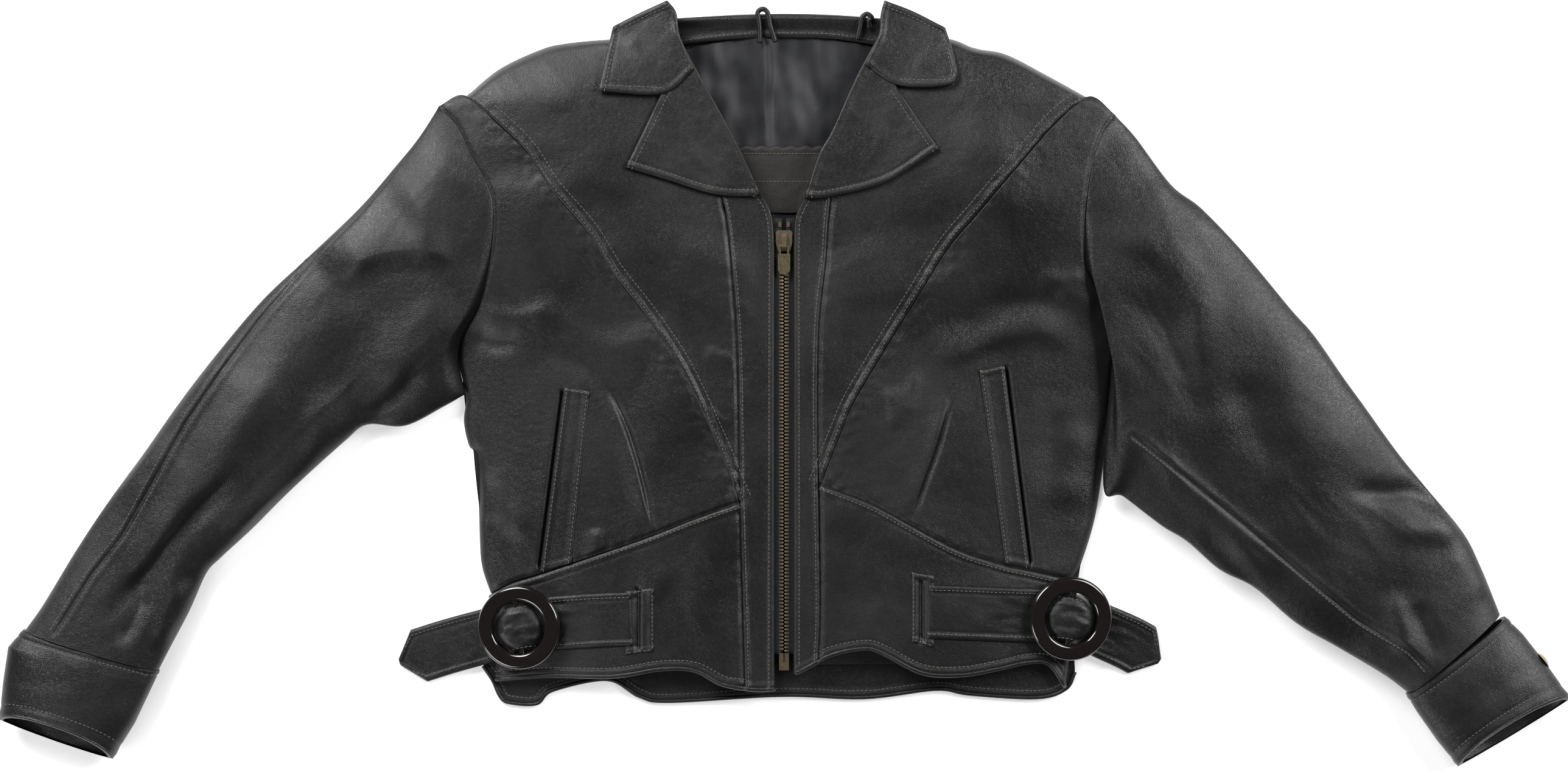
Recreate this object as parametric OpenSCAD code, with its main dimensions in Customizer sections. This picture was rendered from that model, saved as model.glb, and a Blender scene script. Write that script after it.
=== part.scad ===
// Cropped leather jacket, zipped up and lying flat on its back, arms spread.
// +Z is up out of the chest, +Y is towards the collar, +X is the wearer's left.

/* [Leather and lining] */
// Thickness of the shell leather
leather_t = 1.5; // [1.0:0.1:2.0]
// Thickness of the folded double leather of lapels, collar and straps
double_t = 2.2; // [1.8:0.1:2.8]
// Thickness of the satin lining
lining_t = 0.7; // [0.5:0.1:1.0]
// Gap between pieces that lie beside or on each other
gap = 0.4; // [0.3:0.05:0.6]

/* [Body] */
// Stretch of the whole body and sleeves across, 1 is a medium jacket
width_k = 1; // [0.8:0.05:1.25]
// Stretch of the whole body and sleeves along the back, 1 is a medium jacket
length_k = 1; // [0.8:0.05:1.25]
// Height that the front panels stand above the back when laid flat
crown_h = 16; // [12:0.5:24]
// Extra height over the shoulders
shoulder_rise = 9; // [4:0.5:14]
// Width of the gap between the two front edges
front_gap = 15; // [13.5:0.5:18]

/* [Shoulder joint] */
// Radius of the armhole arc around the sleeve's turning centre
armhole_r = 138; // [110:1:170]
// Distance of the turning centre from the middle of the jacket
armhole_x = 380; // [370:1:470]
// Height of the turning centre along the back
armhole_y = 135; // [110:1:170]
// Running gap along the armhole arc
armhole_gap = 1.5; // [1.2:0.1:2]

/* [Zip] */
// Width of the closed chain
chain_w = 7.7; // [6.5:0.1:9]
// Distance from tooth to tooth
tooth_pitch = 2.9; // [2.4:0.1:4]
// Lowest tooth, measured from the origin
chain_low = -214; // [-230:1:-180]
// Top end of the slider when closed
slider_top = 131; // [110:1:140]
// Length of the slider's plates
slider_len = 17; // [14:0.5:22]
// Length of the pull tab's plate
tab_len = 17; // [12:0.5:26]
// Radius of the pull tab's hinge pin
pin_r = 0.8; // [0.6:0.1:1.1]

/* [Belts and rings] */
// Outer radius of a ring buckle
ring_r = 34.5; // [30:0.5:40]
// Radius of the hole in a ring buckle
ring_hole_r = 21.5; // [18:0.5:24]
// Thickness of a ring buckle
ring_t = 6.4; // [5:0.2:8]
// Radius of the bar across a ring buckle
bar_r = 2; // [1.6:0.1:2.6]
// Width of a belt strap
strap_w = 45; // [38:0.5:50]
// Angle at which the straps slope down to their tips
strap_slope = 8; // [0:1:12]

/* [Cuffs] */
// Radius of a cuff button
button_r = 8; // [6:0.5:10]
// Thickness of a cuff, which is two layers and a stiffener
cuff_t = 3; // [2:0.2:4]

/* [Hidden] */

$fn = 48;
black = "#241f1e";
navy = "#232838";
brass = "#8a7a50";

// Heights of the layers at the flattened sides
back_top = leather_t;
lining_low = back_top + gap;
lining_top = lining_low + lining_t;
edge_z = lining_top + gap + lining_t + 2 * gap + leather_t;

// Seams of the right half, as tables for lookup; each row is [key, value]
side_edge = [[-262, 236], [-240, 237], [-150, 247], [-120, 252], [-60, 258], [0, 263], [50, 270]];
crown_reach = [[-262, 243], [-150, 250], [-60, 261], [0, 268], [50, 300], [100, 340], [200, 335],
               [235, 300], [265, 240], [290, 170], [320, 150]];
shoulder_edge = [[228, 243], [238, 258], [246, 262], [265, 228], [281, 190], [289, 150], [292, 132]];
v_seam = [[-85, 34], [-33, 54], [0, 70], [40, 93], [80, 120], [120, 147], [160, 180], [200, 212],
          [228, 243]];
waist_by_y = [[-161, 240], [-151, 214], [-147, 189], [-132, 145], [-115, 106], [-100, 73], [-85, 34]];
waist_by_x = [[32, -86], [73, -100], [106, -115], [145, -132], [189, -147], [214, -151], [240, -161]];
placket_seam = [[-250, 30], [-84, 30], [-60, 32], [40, 33], [104, 38], [157, 44]];
hem_left = [[7, -232], [27, -221], [40, -216], [66, -211], [81, -215], [113, -231], [145, -233], [176, -228],
            [200, -223], [218, -226], [237, -238]];
hem_right = [[7, -245], [29, -245], [51, -240], [74, -229], [100, -228], [140, -234], [194, -234],
             [237, -238]];
hem_back = [[0, -251], [66, -253], [120, -250], [150, -246], [184, -254], [208, -255], [237, -246]];
lapel_edge = [[160, 40], [166, 75], [174, 105], [185, 128], [200, 123], [220, 111], [243, 99]];
leaf_edge = [[244, 149], [262, 147], [292, 139], [300, 132], [310, 115], [319, 104]];

// The roll line, on which lapel and collar turn
roll_x = 20;
roll_y = 163;
roll_top_x = 87;
roll_top_y = 292;
roll_z = 26.4;
roll_room = 2.8;

// Sleeves: each row is [outer edge, inner edge, half height]
sleeve_left = [[[345, 140], [319, -18], 13], [[372, 116], [331, -62], 14], [[405, 80], [347, -100], 14],
               [[440, 40], [372, -140], 14], [[476, -13], [395, -166], 13], [[526, -79], [430, -198], 13],
               [[560, -125], [472, -222], 14], [[586, -176], [508, -240], 17]];
sleeve_right = [[[335, 160], [327, -8], 14], [[375, 112], [344, -29], 15], [[418, 60], [375, -55], 16],
                [[460, 22], [410, -90], 16], [[506, -25], [450, -122], 15], [[552, -85], [480, -155], 15],
                [[594, -150], [498, -190], 15], [[618, -192], [512, -226], 18]];
cuff_left = [[[592, -185], [514, -247], 18], [[620, -221], [541, -286], 21], [[642, -254], [568, -318], 23]];
cuff_right = [[[624, -201], [516, -233], 19], [[634, -237], [531, -268], 21],
              [[642, -273], [550, -303], 22]];
armhole_low = -60;
armhole_high = 39;
armhole_half_h = 12.5;
around = 20;

function sx(x) = x * width_k;
function sy(y) = y * length_k;
function mix(a, b, t) = a + (b - a) * t;
function ease(a, b, v) = let (t = min(1, max(0, (v - a) / (b - a)))) t * t * (3 - 2 * t);

// Height of the outer face of the front, in unstretched plan coordinates
function fall(x, y) = pow(max(0, 1 - pow(min(1, abs(x) / lookup(y, crown_reach)), 3)), 0.8);
function rise(x, y) = shoulder_rise * ease(60, 180, abs(x)) * ease(40, 170, y) * (1 - ease(235, 300, y));
function front_z(x, y) = edge_z + crown_h * fall(x, y) + rise(x, y);

// Outer edge of the body: side, then armhole arc up to the shoulder tip
body_clear = armhole_r + armhole_gap;
shoulder_tip = 228;
armpit_y = 50;
function arc_x(y) = armhole_x - sqrt(max(0, body_clear * body_clear - (y - armhole_y) * (y - armhole_y)));
function body_edge(y) =
    y > shoulder_tip ? lookup(y, shoulder_edge) :
    y >= armpit_y ? arc_x(y) :
    mix(lookup(y, side_edge), arc_x(armpit_y), ease(0, armpit_y, y));
function roll_at(y) = roll_x + (y - roll_y) * (roll_top_x - roll_x) / (roll_top_y - roll_y);

// How far the shoulder pad pushes the lining down
pad_depth_max = 7;
function pad_depth(x, y) = pad_depth_max * ease(120, 165, x) * (1 - ease(215, 238, x))
    * ease(150, 185, y) * (1 - ease(205, 224, y));

// Grids in plan: rows run along Y, each from an inner to an outer x
function rows(ys, inner, outer, n) =
    [for (y = ys) [for (j = [0:n]) [mix(inner(y), outer(y), j / n), y]]];
// Grids whose columns run along X, each from a lower to an upper y
function columns(xs, low, high, n) =
    [for (i = [0:n]) [for (x = xs) [x, mix(low(x), high(x), i / n)]]];
function span(a, b, n) = [for (i = [0:n]) mix(a, b, i / n)];
function place(grid, z) = [for (r = grid) [for (p = r) [sx(p[0]), sy(p[1]), z(p[0], p[1])]]];
function flat(grid) = [for (r = grid) each r];

// A closed sheet between an upper and a lower grid of points
module skin(upper, lower) {
    n = len(upper);
    m = len(upper[0]);
    lo = n * m;
    function at(i, j) = i * m + j;
    top = [for (i = [0:n - 2]) for (j = [0:m - 2])
        each [[at(i, j), at(i + 1, j + 1), at(i, j + 1)], [at(i, j), at(i + 1, j), at(i + 1, j + 1)]]];
    under = [for (f = top) [lo + f[0], lo + f[2], lo + f[1]]];
    rim = concat([for (j = [0:m - 2]) [at(0, j), at(0, j + 1)]],
                 [for (i = [0:n - 2]) [at(i, m - 1), at(i + 1, m - 1)]],
                 [for (j = [m - 1:-1:1]) [at(n - 1, j), at(n - 1, j - 1)]],
                 [for (i = [n - 1:-1:1]) [at(i, 0), at(i - 1, 0)]]);
    wall = [for (e = rim) each [[e[0], e[1], lo + e[1]], [e[0], lo + e[1], lo + e[0]]]];
    polyhedron(concat(flat(upper), flat(lower)), concat(top, under, wall));
}

// A closed tube between an outer and an inner grid, whose columns run round
module tube(outer, inner) {
    n = len(outer);
    m = len(outer[0]);
    lo = n * m;
    function at(i, j) = i * m + (j % m);
    side = [for (i = [0:n - 2]) for (j = [0:m - 1])
        each [[at(i, j), at(i, j + 1), at(i + 1, j + 1)], [at(i, j), at(i + 1, j + 1), at(i + 1, j)]]];
    bore = [for (f = side) [lo + f[0], lo + f[2], lo + f[1]]];
    near = [for (j = [0:m - 1])
        each [[at(0, j), lo + at(0, j + 1), at(0, j + 1)], [at(0, j), lo + at(0, j), lo + at(0, j + 1)]]];
    far = [for (j = [0:m - 1])
        each [[at(n - 1, j), at(n - 1, j + 1), lo + at(n - 1, j + 1)],
              [at(n - 1, j), lo + at(n - 1, j + 1), lo + at(n - 1, j)]]];
    polyhedron(concat(flat(outer), flat(inner)), concat(side, bore, near, far));
}

module handed(side) {
    if (side > 0) children();
    else mirror([1, 0, 0]) children();
}

// A front sheet: grid in plan, depth of its outer face under the front's face, and thickness
module front_sheet(grid, depth, t) {
    skin(place(grid, function (x, y) front_z(x, y) - depth(x, y)),
         place(grid, function (x, y) front_z(x, y) - depth(x, y) - t));
}
surface = function (x, y) 0;
half_gap = gap / 2;

/* Back of the body */
waist_back = -160;
back_ys = concat([waist_back, -140, -100, -60, -20, 20, 50, 72, 94, 118, 142, 166, 188, 208, shoulder_tip],
                 [238, 246, 265, 281, 289, 292]);
// The back panel rises near the neck, over the fall of the collar
fall_room = leather_t + gap;
function back_low(x, y) = fall_room * ease(222, 246, y);
back_top_at = function (x, y) back_low(x, y) + leather_t;
module back_panel() {
    grid = [for (y = back_ys) [for (j = [-7:7]) [body_edge(y) * j / 7, y]]];
    color(black) skin(place(grid, back_top_at), place(grid, function (x, y) back_low(x, y)));
}
module back_waistband() {
    xs = [-237, -208, -184, -150, -120, -66, 0, 66, 120, 150, 184, 208, 237];
    grid = columns(xs, function (x) lookup(abs(x), hem_back), function (x) waist_back - gap, 3);
    color(black) skin(place(grid, function (x, y) leather_t), place(grid, function (x, y) 0));
}
module back_lining() {
    ys = [-225, -190, -150, -100, -50, 0, 50, 75, 100, 135, 170, 200, 222, 246, 265, 281];
    inset = 6;
    grid = [for (y = ys) [for (j = [-6:6]) [(body_edge(y) - inset) * j / 6, y]]];
    low = function (x, y) back_low(x, y) + lining_low;
    color(navy) skin(place(grid, function (x, y) low(x, y) + lining_t), place(grid, low));
}
module inner_facing() {
    low = lining_top + gap;
    half_w = 62;
    grid = rows([158, 172, 186, 200], function (y) -half_w, function (y) half_w, 8);
    color(black) skin(place(grid, function (x, y) low + leather_t), place(grid, function (x, y) low));
}

/* Neck */
neck_low = fall_room + leather_t + gap;
fold_y = 309;
neck_half = 92;
neck_seam = 291;
fall_low = 250;
module neck_facing() {
    color(black) translate([-sx(neck_half), sy(neck_seam + gap), neck_low])
        cube([2 * sx(neck_half), sy(fold_y) - 2 * leather_t - gap - sy(neck_seam), leather_t]);
}
module collar_back() {
    fold_h = neck_low + leather_t + gap + leather_t;
    lip = 8;
    color(black) translate([-sx(neck_half), 0, 0]) rotate([90, 0, 90]) linear_extrude(2 * sx(neck_half))
        polygon([[sy(fall_low), 0], [sy(fold_y), 0], [sy(fold_y), fold_h], [sy(fold_y) - lip, fold_h],
                 [sy(fold_y) - lip, fold_h - leather_t], [sy(fold_y) - leather_t, fold_h - leather_t],
                 [sy(fold_y) - leather_t, leather_t], [sy(fall_low), leather_t]]);
}
loop_hole_r = 3.2;
loop_strand = 3;
loop_x = -12;
module hanger_loop() {
    low = neck_low + leather_t + gap + leather_t + gap;
    reach = 11;
    set_back = 4;
    outer_r = loop_hole_r + loop_strand;
    color(black) translate([sx(loop_x), sy(fold_y) - set_back, low])
        linear_extrude(loop_strand) difference() {
            union() {
                circle(outer_r);
                translate([-outer_r, -reach]) square([2 * outer_r, reach]);
            }
            circle(loop_hole_r);
            translate([-loop_hole_r / 2, -reach - 1]) square([loop_hole_r, reach]);
        }
}

/* Front panels */
placket_top = 154;
// Where the front edge leaves the zip for the roll line
roll_start = 157;
waist_low = -82;
centre_ys = [-60, -33, 0, 40, 72, 104, 130, placket_top];
// Narrowest that a panel's corner may become
least_w = 0.8;
module chest_panel(side) {
    ys = concat([waist_low], centre_ys, [159, 178, 200, 215, shoulder_tip, 238, 246, 265, 281, 289, 292]);
    inner = function (y) (y <= placket_top ? lookup(y, placket_seam) : roll_at(y) + 1) + half_gap;
    seam = function (y) y <= shoulder_tip ? lookup(y, v_seam) : lookup(y, shoulder_edge);
    outer = function (y) max(inner(y) + least_w, seam(y) - half_gap);
    color(black) handed(side) front_sheet(rows(ys, inner, outer, 8), surface, leather_t);
}
module side_front(side) {
    low = v_seam[0][0];
    ys = concat([-159, -151, -147, -132, -115, -100, low],
                [-60, -33, 0, 25, 50, 80, 110, 135, 160, 180, 200, 215, 227]);
    inner = function (y) (y < low ? lookup(y, waist_by_y) : lookup(y, v_seam)) + half_gap;
    outer = function (y) max(inner(y) + least_w, body_edge(y));
    color(black) handed(side) front_sheet(rows(ys, inner, outer, 7), surface, leather_t);
}
module waistband(side, hem) {
    xs = [30.4, 41, 52, 62, 73, 84, 95, 106, 119, 132, 145, 160, 176, 189, 202, 214, 225, 236.5];
    high = function (x) lookup(x, waist_by_x) - gap;
    color(black) handed(side) front_sheet(columns(xs, function (x) lookup(x, hem), high, 4),
        surface, leather_t);
}
module placket(side, hem) {
    ys = concat([lookup(18, hem)], span(-200, -95, 3), [waist_low], centre_ys);
    inner = function (y) front_gap / 2 / width_k;
    outer = function (y) lookup(y, placket_seam) - half_gap;
    color(black) handed(side) front_sheet(rows(ys, inner, outer, 4), surface, leather_t);
}
zip_seat = leather_t + gap;
tape_t = 0.6;
tape_w = 15;
facing_depth = zip_seat + tape_t + gap;
facing_inner = 12.5;
facing_w = 28;
module front_facing(side) {
    ys = concat(span(-205, placket_top, 9), [160, 180, 200, 222, 246, 265, 281]);
    inner = function (y) y < roll_start ? facing_inner : roll_at(y) + 2;
    outer = function (y) inner(y) + facing_w;
    depth = function (x, y) facing_depth;
    color(black) handed(side) front_sheet(rows(ys, inner, outer, 3), depth, leather_t);
}
module front_lining(side) {
    ys = [-200, -160, -120, -80, -40, 0, 50, 75, 100, 135, 150, 160, 180, 190, 200, 215, 222];
    inner = function (y) (y < roll_start ? facing_inner : roll_at(y) + 2) + facing_w + gap;
    outer = function (y) body_edge(y) - 5;
    depth = function (x, y) leather_t + 2 * gap + 2 * pocket_room(x, y) + pad_depth(x, y);
    color(navy) handed(side) front_sheet(rows(ys, inner, outer, 9), depth, lining_t);
}
// The pad fills part of the room that the lining leaves it
pad_fill = 0.5;
module shoulder_pad(side) {
    grid = [for (y = span(162, 214, 6)) [for (x = span(134, 226, 8)) [x, y]]];
    color("white") handed(side) skin(
        place(grid, function (x, y) front_z(x, y) - leather_t - 1.5 * gap),
        place(grid, function (x, y) front_z(x, y) - leather_t - 1.5 * gap - pad_fill * pad_depth(x, y)));
}

/* Pockets */
pocket_low = -146;
pocket_high = 2;
pocket_lean = 0.13;
pocket_x = 190;
welt_w = 22;
function pocket_at(y) = pocket_x - welt_w / 2 + (y - pocket_low) * -pocket_lean;
bag_w = 90;
bag_t = 1.2;
// Room that the pocket bag takes between leather and lining, at the sheet under it
function pocket_room(x, y) = 0.5 * (bag_t + gap) * ease(62, 84, x) * (1 - ease(206, 230, x))
    * ease(-175, -150, y) * (1 - ease(0, 25, y));
module pocket_welt(side) {
    ys = span(pocket_low, pocket_high, 8);
    grid = rows(ys, function (y) pocket_at(y), function (y) pocket_at(y) + welt_w, 2);
    color(black) handed(side) front_sheet(grid, function (x, y) -gap - leather_t, leather_t);
}
module pocket_bag(side) {
    ys = span(pocket_low, pocket_high - 4, 6);
    grid = rows(ys, function (y) pocket_at(y) + welt_w - bag_w, function (y) pocket_at(y) + welt_w - 6, 4);
    color(navy) handed(side) front_sheet(grid, function (x, y) leather_t + gap, bag_t);
}

/* Zip */
zip_z = front_z(0, 0) - zip_seat - tape_t / 2;
tooth_h = 3;
tooth_root = 1.4;
tooth_share = 0.55;
tape_over = 14;
chain_split = 0.8;
chain_high = slider_top - slider_len - 2;
tape_inner = 1.6;
module zip_tape(side) {
    color("#1a1a1c") handed(side) translate([tape_inner, sy(chain_low) - 4, zip_z - tape_t / 2])
        cube([tape_w, sy(slider_top) - sy(chain_low) + tape_over, tape_t]);
}
teeth_n = floor((sy(chain_high) - sy(chain_low)) / tooth_pitch);
module zip_teeth(side) {
    outer = chain_w / 2;
    tooth = tooth_pitch * tooth_share;
    comb = [for (i = [0:teeth_n - 1]) let (y = sy(chain_low) + i * tooth_pitch)
        each [[outer - tooth_root, y], [chain_split, y], [chain_split, y + tooth],
              [outer - tooth_root, y + tooth]]];
    top_y = sy(chain_low) + (teeth_n - 1) * tooth_pitch + tooth;
    color(brass) handed(side) difference() {
        translate([0, 0, zip_z - tooth_h / 2]) linear_extrude(tooth_h)
            polygon(concat(comb, [[outer, top_y], [outer, sy(chain_low)]]));
        translate([tape_inner - 0.1, sy(chain_low) - 5, zip_z - tape_t / 2 - 0.05])
            cube([tape_w, sy(slider_top) - sy(chain_low) + 20, tape_t + 0.1]);
    }
}
module zip_box() {
    h = 4.4;
    w = 8;
    l = 14;
    slit = 0.8;
    color(brass) translate([-w / 2, sy(chain_low) - 1 - l, zip_z - h / 2]) difference() {
        cube([w, l, h]);
        translate([w / 2 - slit / 2, l / 2, -1]) cube([slit, l, h + 2]);
        translate([-1, l - 4, h / 2 - tape_t / 2 - 0.2]) cube([w + 2, 5, tape_t + 0.4]);
    }
}
module top_stop(side) {
    color(brass) handed(side) translate([tape_inner + 0.6, sy(slider_top) + 3, zip_z + tape_t / 2 + 0.1])
        cube([2.4, 4, 1.4]);
}

/* Slider and pull tab */
slider_w = 13.4;
plate_t = 1.3;
chain_room = 0.5;
plate_top = zip_z + tooth_h / 2 + chain_room + plate_t;
bridge_w = 4.4;
bridge_wall = 1.6;
bevel = 1.5;
pin_clear = 0.35;
pin_z = plate_top + 2 * pin_clear + pin_r;
slider_y = sy(slider_top) - slider_len;
module slider_plate() {
    w = slider_w / 2;
    taper_y = slider_len * 0.4;
    taper_x = w - 1.8;
    polygon([[-w, slider_len - bevel], [-w + bevel, slider_len], [w - bevel, slider_len],
             [w, slider_len - bevel], [w, taper_y], [taper_x, 0], [-taper_x, 0], [-w, taper_y]]);
}
module zip_slider() {
    low = zip_z - tooth_h / 2 - chain_room - plate_t;
    post_l = 4;
    post_w = 0.9;
    post_inset = 0.5;
    arch_l = 14;
    arch_h = 2 * pin_r + 3 * pin_clear + bevel;
    hole_l = arch_l - 3 * bridge_wall - 2;
    color(brass) translate([0, slider_y, 0]) {
        translate([0, 0, low]) linear_extrude(plate_t) slider_plate();
        translate([0, 0, plate_top - plate_t]) linear_extrude(plate_t) slider_plate();
        translate([-post_w / 2, slider_len - post_l - post_inset, low + plate_t / 2])
            cube([post_w, post_l, plate_top - low - plate_t]);
        translate([-bridge_w / 2, bevel, plate_top - 0.01]) rotate([90, 0, 90])
            linear_extrude(bridge_w) difference() {
                polygon([[0, 0], [0, arch_h - bevel], [bevel, arch_h], [arch_l - 4, arch_h], [arch_l, 0]]);
                translate([bridge_wall, -1]) square([hole_l, arch_h - bevel + 1]);
            }
    }
}
tab_w = 10;
tab_t = 1.6;
arm_l = 6.5;
arm_t = 1.4;
arm_clear = 0.4;
tab_rim = 1.6;
dish = 0.4;
module pull_tab() {
    py = slider_y + bevel + bridge_wall + pin_r + pin_clear;
    inner = bridge_w / 2 + arm_clear;
    pin_l = 2 * (inner + arm_t);
    round_y = -tab_len + tab_w / 2;
    color(brass) translate([0, py, pin_z]) {
        translate([-pin_l / 2, 0, 0]) rotate([0, 90, 0]) cylinder(r = pin_r, h = pin_l);
        for (s = [-1, 1]) translate([s > 0 ? inner : -inner - arm_t, -arm_l, -pin_r])
            cube([arm_t, arm_l, 2 * pin_r]);
        translate([0, -arm_l, -pin_r]) difference() {
            linear_extrude(tab_t) {
                translate([-tab_w / 2, round_y]) square([tab_w, -round_y]);
                translate([0, round_y]) circle(tab_w / 2);
            }
            translate([0, 0, tab_t - dish]) linear_extrude(1) {
                translate([-tab_w / 2 + tab_rim, round_y])
                    square([tab_w - 2 * tab_rim, -round_y - 1.5 * tab_rim]);
                translate([0, round_y]) circle(tab_w / 2 - tab_rim);
            }
        }
    }
}

/* Belts and ring buckles */
// The left jacket side's ring was laid further out than the right's
function ring_x(side) = side > 0 ? 235 : 217;
function ring_y(side) = side > 0 ? -187 : -194;
ring_lean = 9;
ring_lift = 9.5;
function ring_z(side) = front_z(ring_x(side), ring_y(side)) + ring_lift;
// Places and turns a piece whose local origin is the middle of a ring
module at_ring(side) {
    handed(side) translate([sx(ring_x(side)), sy(ring_y(side)), 0]) rotate([0, 0, -strap_slope]) children();
}
module ring_buckle(side) {
    round_r = ring_t / 2;
    color("#140d0b") at_ring(side) translate([0, 0, ring_z(side)]) rotate([0, ring_lean, 0]) {
        rotate_extrude($fn = 96) {
            translate([ring_hole_r + round_r, 0]) circle(round_r);
            translate([ring_r - round_r, 0]) circle(round_r);
            translate([ring_hole_r + round_r, -round_r]) square([ring_r - ring_hole_r - ring_t, ring_t]);
        }
        rotate([90, 0, 0]) cylinder(r = bar_r, h = 2 * (ring_hole_r + round_r), center = true);
    }
}
// How far the strap runs from the ring's middle to its slot, and to its tip
function strap_in(side) = side > 0 ? 119 : 102;
function strap_out(side) = side > 0 ? 78 : 104;
tip_l = 22;
strap_rest = 0.8;
neck_l = 15;
neck_w = 26;
over_half = 3.4;
over_clear = 0.5;
// Distances from the ring's middle at which the strap's underside is set
strap_near = 45;
strap_far = 70;
strap_drop = 50;
// Heights of the underside from the ring's outer edge to the tip
strap_hang = [5.6, 4.8, 3.8, 0.4];
// Height of the underside where it lies on the front, at a distance u from the ring's middle
function strap_on(side, u) = front_z(ring_x(side) + u / width_k, ring_y(side)) + strap_rest;
// The strap's underside, seen from its edge: slot, under the ring, over the bar, under the ring, tip
function strap_path(side) = let (over = ring_z(side) + bar_r + over_clear) concat(
    [for (u = [-strap_in(side), -strap_far, -strap_near, -ring_r, -ring_hole_r, -neck_l - 2])
        [u, strap_on(side, u)]],
    [[-over_half, over], [over_half, over], [neck_l, strap_on(side, neck_l) + 0.6],
     [ring_hole_r, side > 0 ? strap_hang[0] : strap_on(side, ring_hole_r)],
     [ring_r, side > 0 ? strap_hang[1] : strap_on(side, ring_r) - 1.4], [strap_drop, strap_hang[2]],
     [strap_out(side), strap_hang[3]]]);
// Half of the strap in plan: it gathers where it passes through the ring
strap_half = strap_w / 2;
function strap_plan(side) = [[-strap_in(side), strap_half], [-ring_r, strap_half], [-neck_l, neck_w / 2],
    [neck_l, neck_w / 2], [ring_r, strap_half], [strap_out(side) - tip_l, strap_half],
    [strap_out(side), 0]];
module belt_strap(side) {
    low = strap_path(side);
    plan = strap_plan(side);
    high = [for (i = [len(low) - 1:-1:0]) [low[i][0], low[i][1] + double_t]];
    color(black) at_ring(side) intersection() {
        translate([0, strap_w / 2, 0]) rotate([90, 0, 0]) linear_extrude(strap_w) polygon(concat(low, high));
        linear_extrude(80) polygon(concat(plan,
            [for (i = [len(plan) - 2:-1:0]) [plan[i][0], -plan[i][1]]]));
    }
}
slot_w = 8;
slot_l = 56;
module belt_slot(side) {
    reach = strap_in(side);
    slot_clear = 1.5;
    x1 = ring_x(side) - reach * cos(strap_slope) - strap_half * sin(strap_slope) - slot_clear;
    y0 = ring_y(side) + reach * sin(strap_slope);
    ys = span(y0 - slot_l / 2, y0 + slot_l / 2, 2);
    grid = rows(ys, function (y) x1 - slot_w, function (y) x1, 2);
    color(black) handed(side) front_sheet(grid, function (x, y) -gap - leather_t, leather_t);
}

/* Lapels and collar leaves */
flap_gap = 0.9;
module lapel(side) {
    ys = [161, 166, 174, 180, 186, 193, 200, 210, 220, 231, 243];
    inner = function (y) roll_at(y) + roll_room;
    outer = function (y) lookup(y, lapel_edge);
    color(black) handed(side) front_sheet(rows(ys, inner, outer, 7),
        function (x, y) -flap_gap - double_t, double_t);
}
module collar_leaf(side) {
    ys = [244, 252, 262, 272, 282, 292, 300, 310, 318.5];
    inner = function (y) roll_at(y) + roll_room;
    outer = function (y) max(lookup(y, leaf_edge), inner(y) + 1);
    color(black) handed(side) front_sheet(rows(ys, inner, outer, 5),
        function (x, y) -flap_gap - double_t, double_t);
}

/* Sleeves and cuffs */
// A point round a flattened tube: station is [outer edge, inner edge, half height], inset by t
function ring_point(s, a, t) =
    let (c = cos(a), mid = (s[0] + s[1]) / 2, half = (s[0] - s[1]) / 2, w = norm(half))
    [sx(mid[0] + half[0] * c * (w - t) / w), sy(mid[1] + half[1] * c * (w - t) / w),
     s[2] + (s[2] - t) * sin(a)];
// The same on the armhole arc, where the middle stands still at the turning centre
function arc_point(a, t) =
    let (c = cos(a), bend = mix(armhole_low, armhole_high - t / 2, (1 + c) / 2),
         inwards = t * pow((1 - c) / 2, 4))
    [sx(armhole_x - armhole_r * cos(bend) + inwards), sy(armhole_y + armhole_r * sin(bend)),
     armhole_half_h + (armhole_half_h - t) * sin(a)];
function tube_grid(stations, angles, t) = [for (s = stations) [for (a = angles) ring_point(s, a, t)]];
// Rows between each two, so that the leather keeps its thickness where a sleeve twists
function finer(grid, n) = concat([for (i = [0:len(grid) - 2], k = [0:n - 1])
    grid[i] + (grid[i + 1] - grid[i]) * k / n], [grid[len(grid) - 1]]);
function sleeve_grid(stations, angles, t) =
    finer(concat([[for (a = angles) arc_point(a, t)]], tube_grid(stations, angles, t)), 3);
seam_angle = 1.2;
step_angle = 360 / around;
half_turn = concat([seam_angle], span(step_angle, 180 - step_angle, around / 2 - 2),
                   [180 - seam_angle]);
module upper_sleeve(side, stations) {
    color(black) handed(side)
        skin(sleeve_grid(stations, half_turn, 0), sleeve_grid(stations, half_turn, leather_t));
}
module under_sleeve(side, stations) {
    color(black) handed(side)
        skin(sleeve_grid(stations, -half_turn, leather_t), sleeve_grid(stations, -half_turn, 0));
}
round_angles = [for (j = [0:around - 1]) -j * step_angle];
// Room between the sleeve's leather and its lining
sleeve_room = 1.6;
module sleeve_lining(side, stations) {
    t = leather_t + sleeve_room;
    color(navy) handed(side)
        tube(tube_grid(stations, round_angles, t), tube_grid(stations, round_angles, t + lining_t));
}
module cuff(side, stations) {
    color(black) handed(side)
        tube(tube_grid(stations, round_angles, 0), tube_grid(stations, round_angles, cuff_t));
}
module cuff_button(side, stations) {
    s = stations[1];
    out = (s[0] - s[1]) / norm(s[0] - s[1]);
    dome_h = 3;
    shank_r = 1.6;
    stand = 0.8;
    dome_r = (button_r * button_r + dome_h * dome_h) / (2 * dome_h);
    color(brass) handed(side) translate([sx(s[0][0]), sy(s[0][1]), s[2]])
        rotate([0, 0, atan2(out[1], out[0])]) rotate([0, 90, 0]) {
            translate([0, 0, stand]) rotate_extrude() intersection() {
                translate([0, dome_h - dome_r]) circle(dome_r, $fn = 96);
                square([button_r, dome_h]);
            }
            translate([0, 0, -cuff_t / 2]) cylinder(r = shank_r, h = cuff_t / 2 + 1);
        }
}

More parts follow.
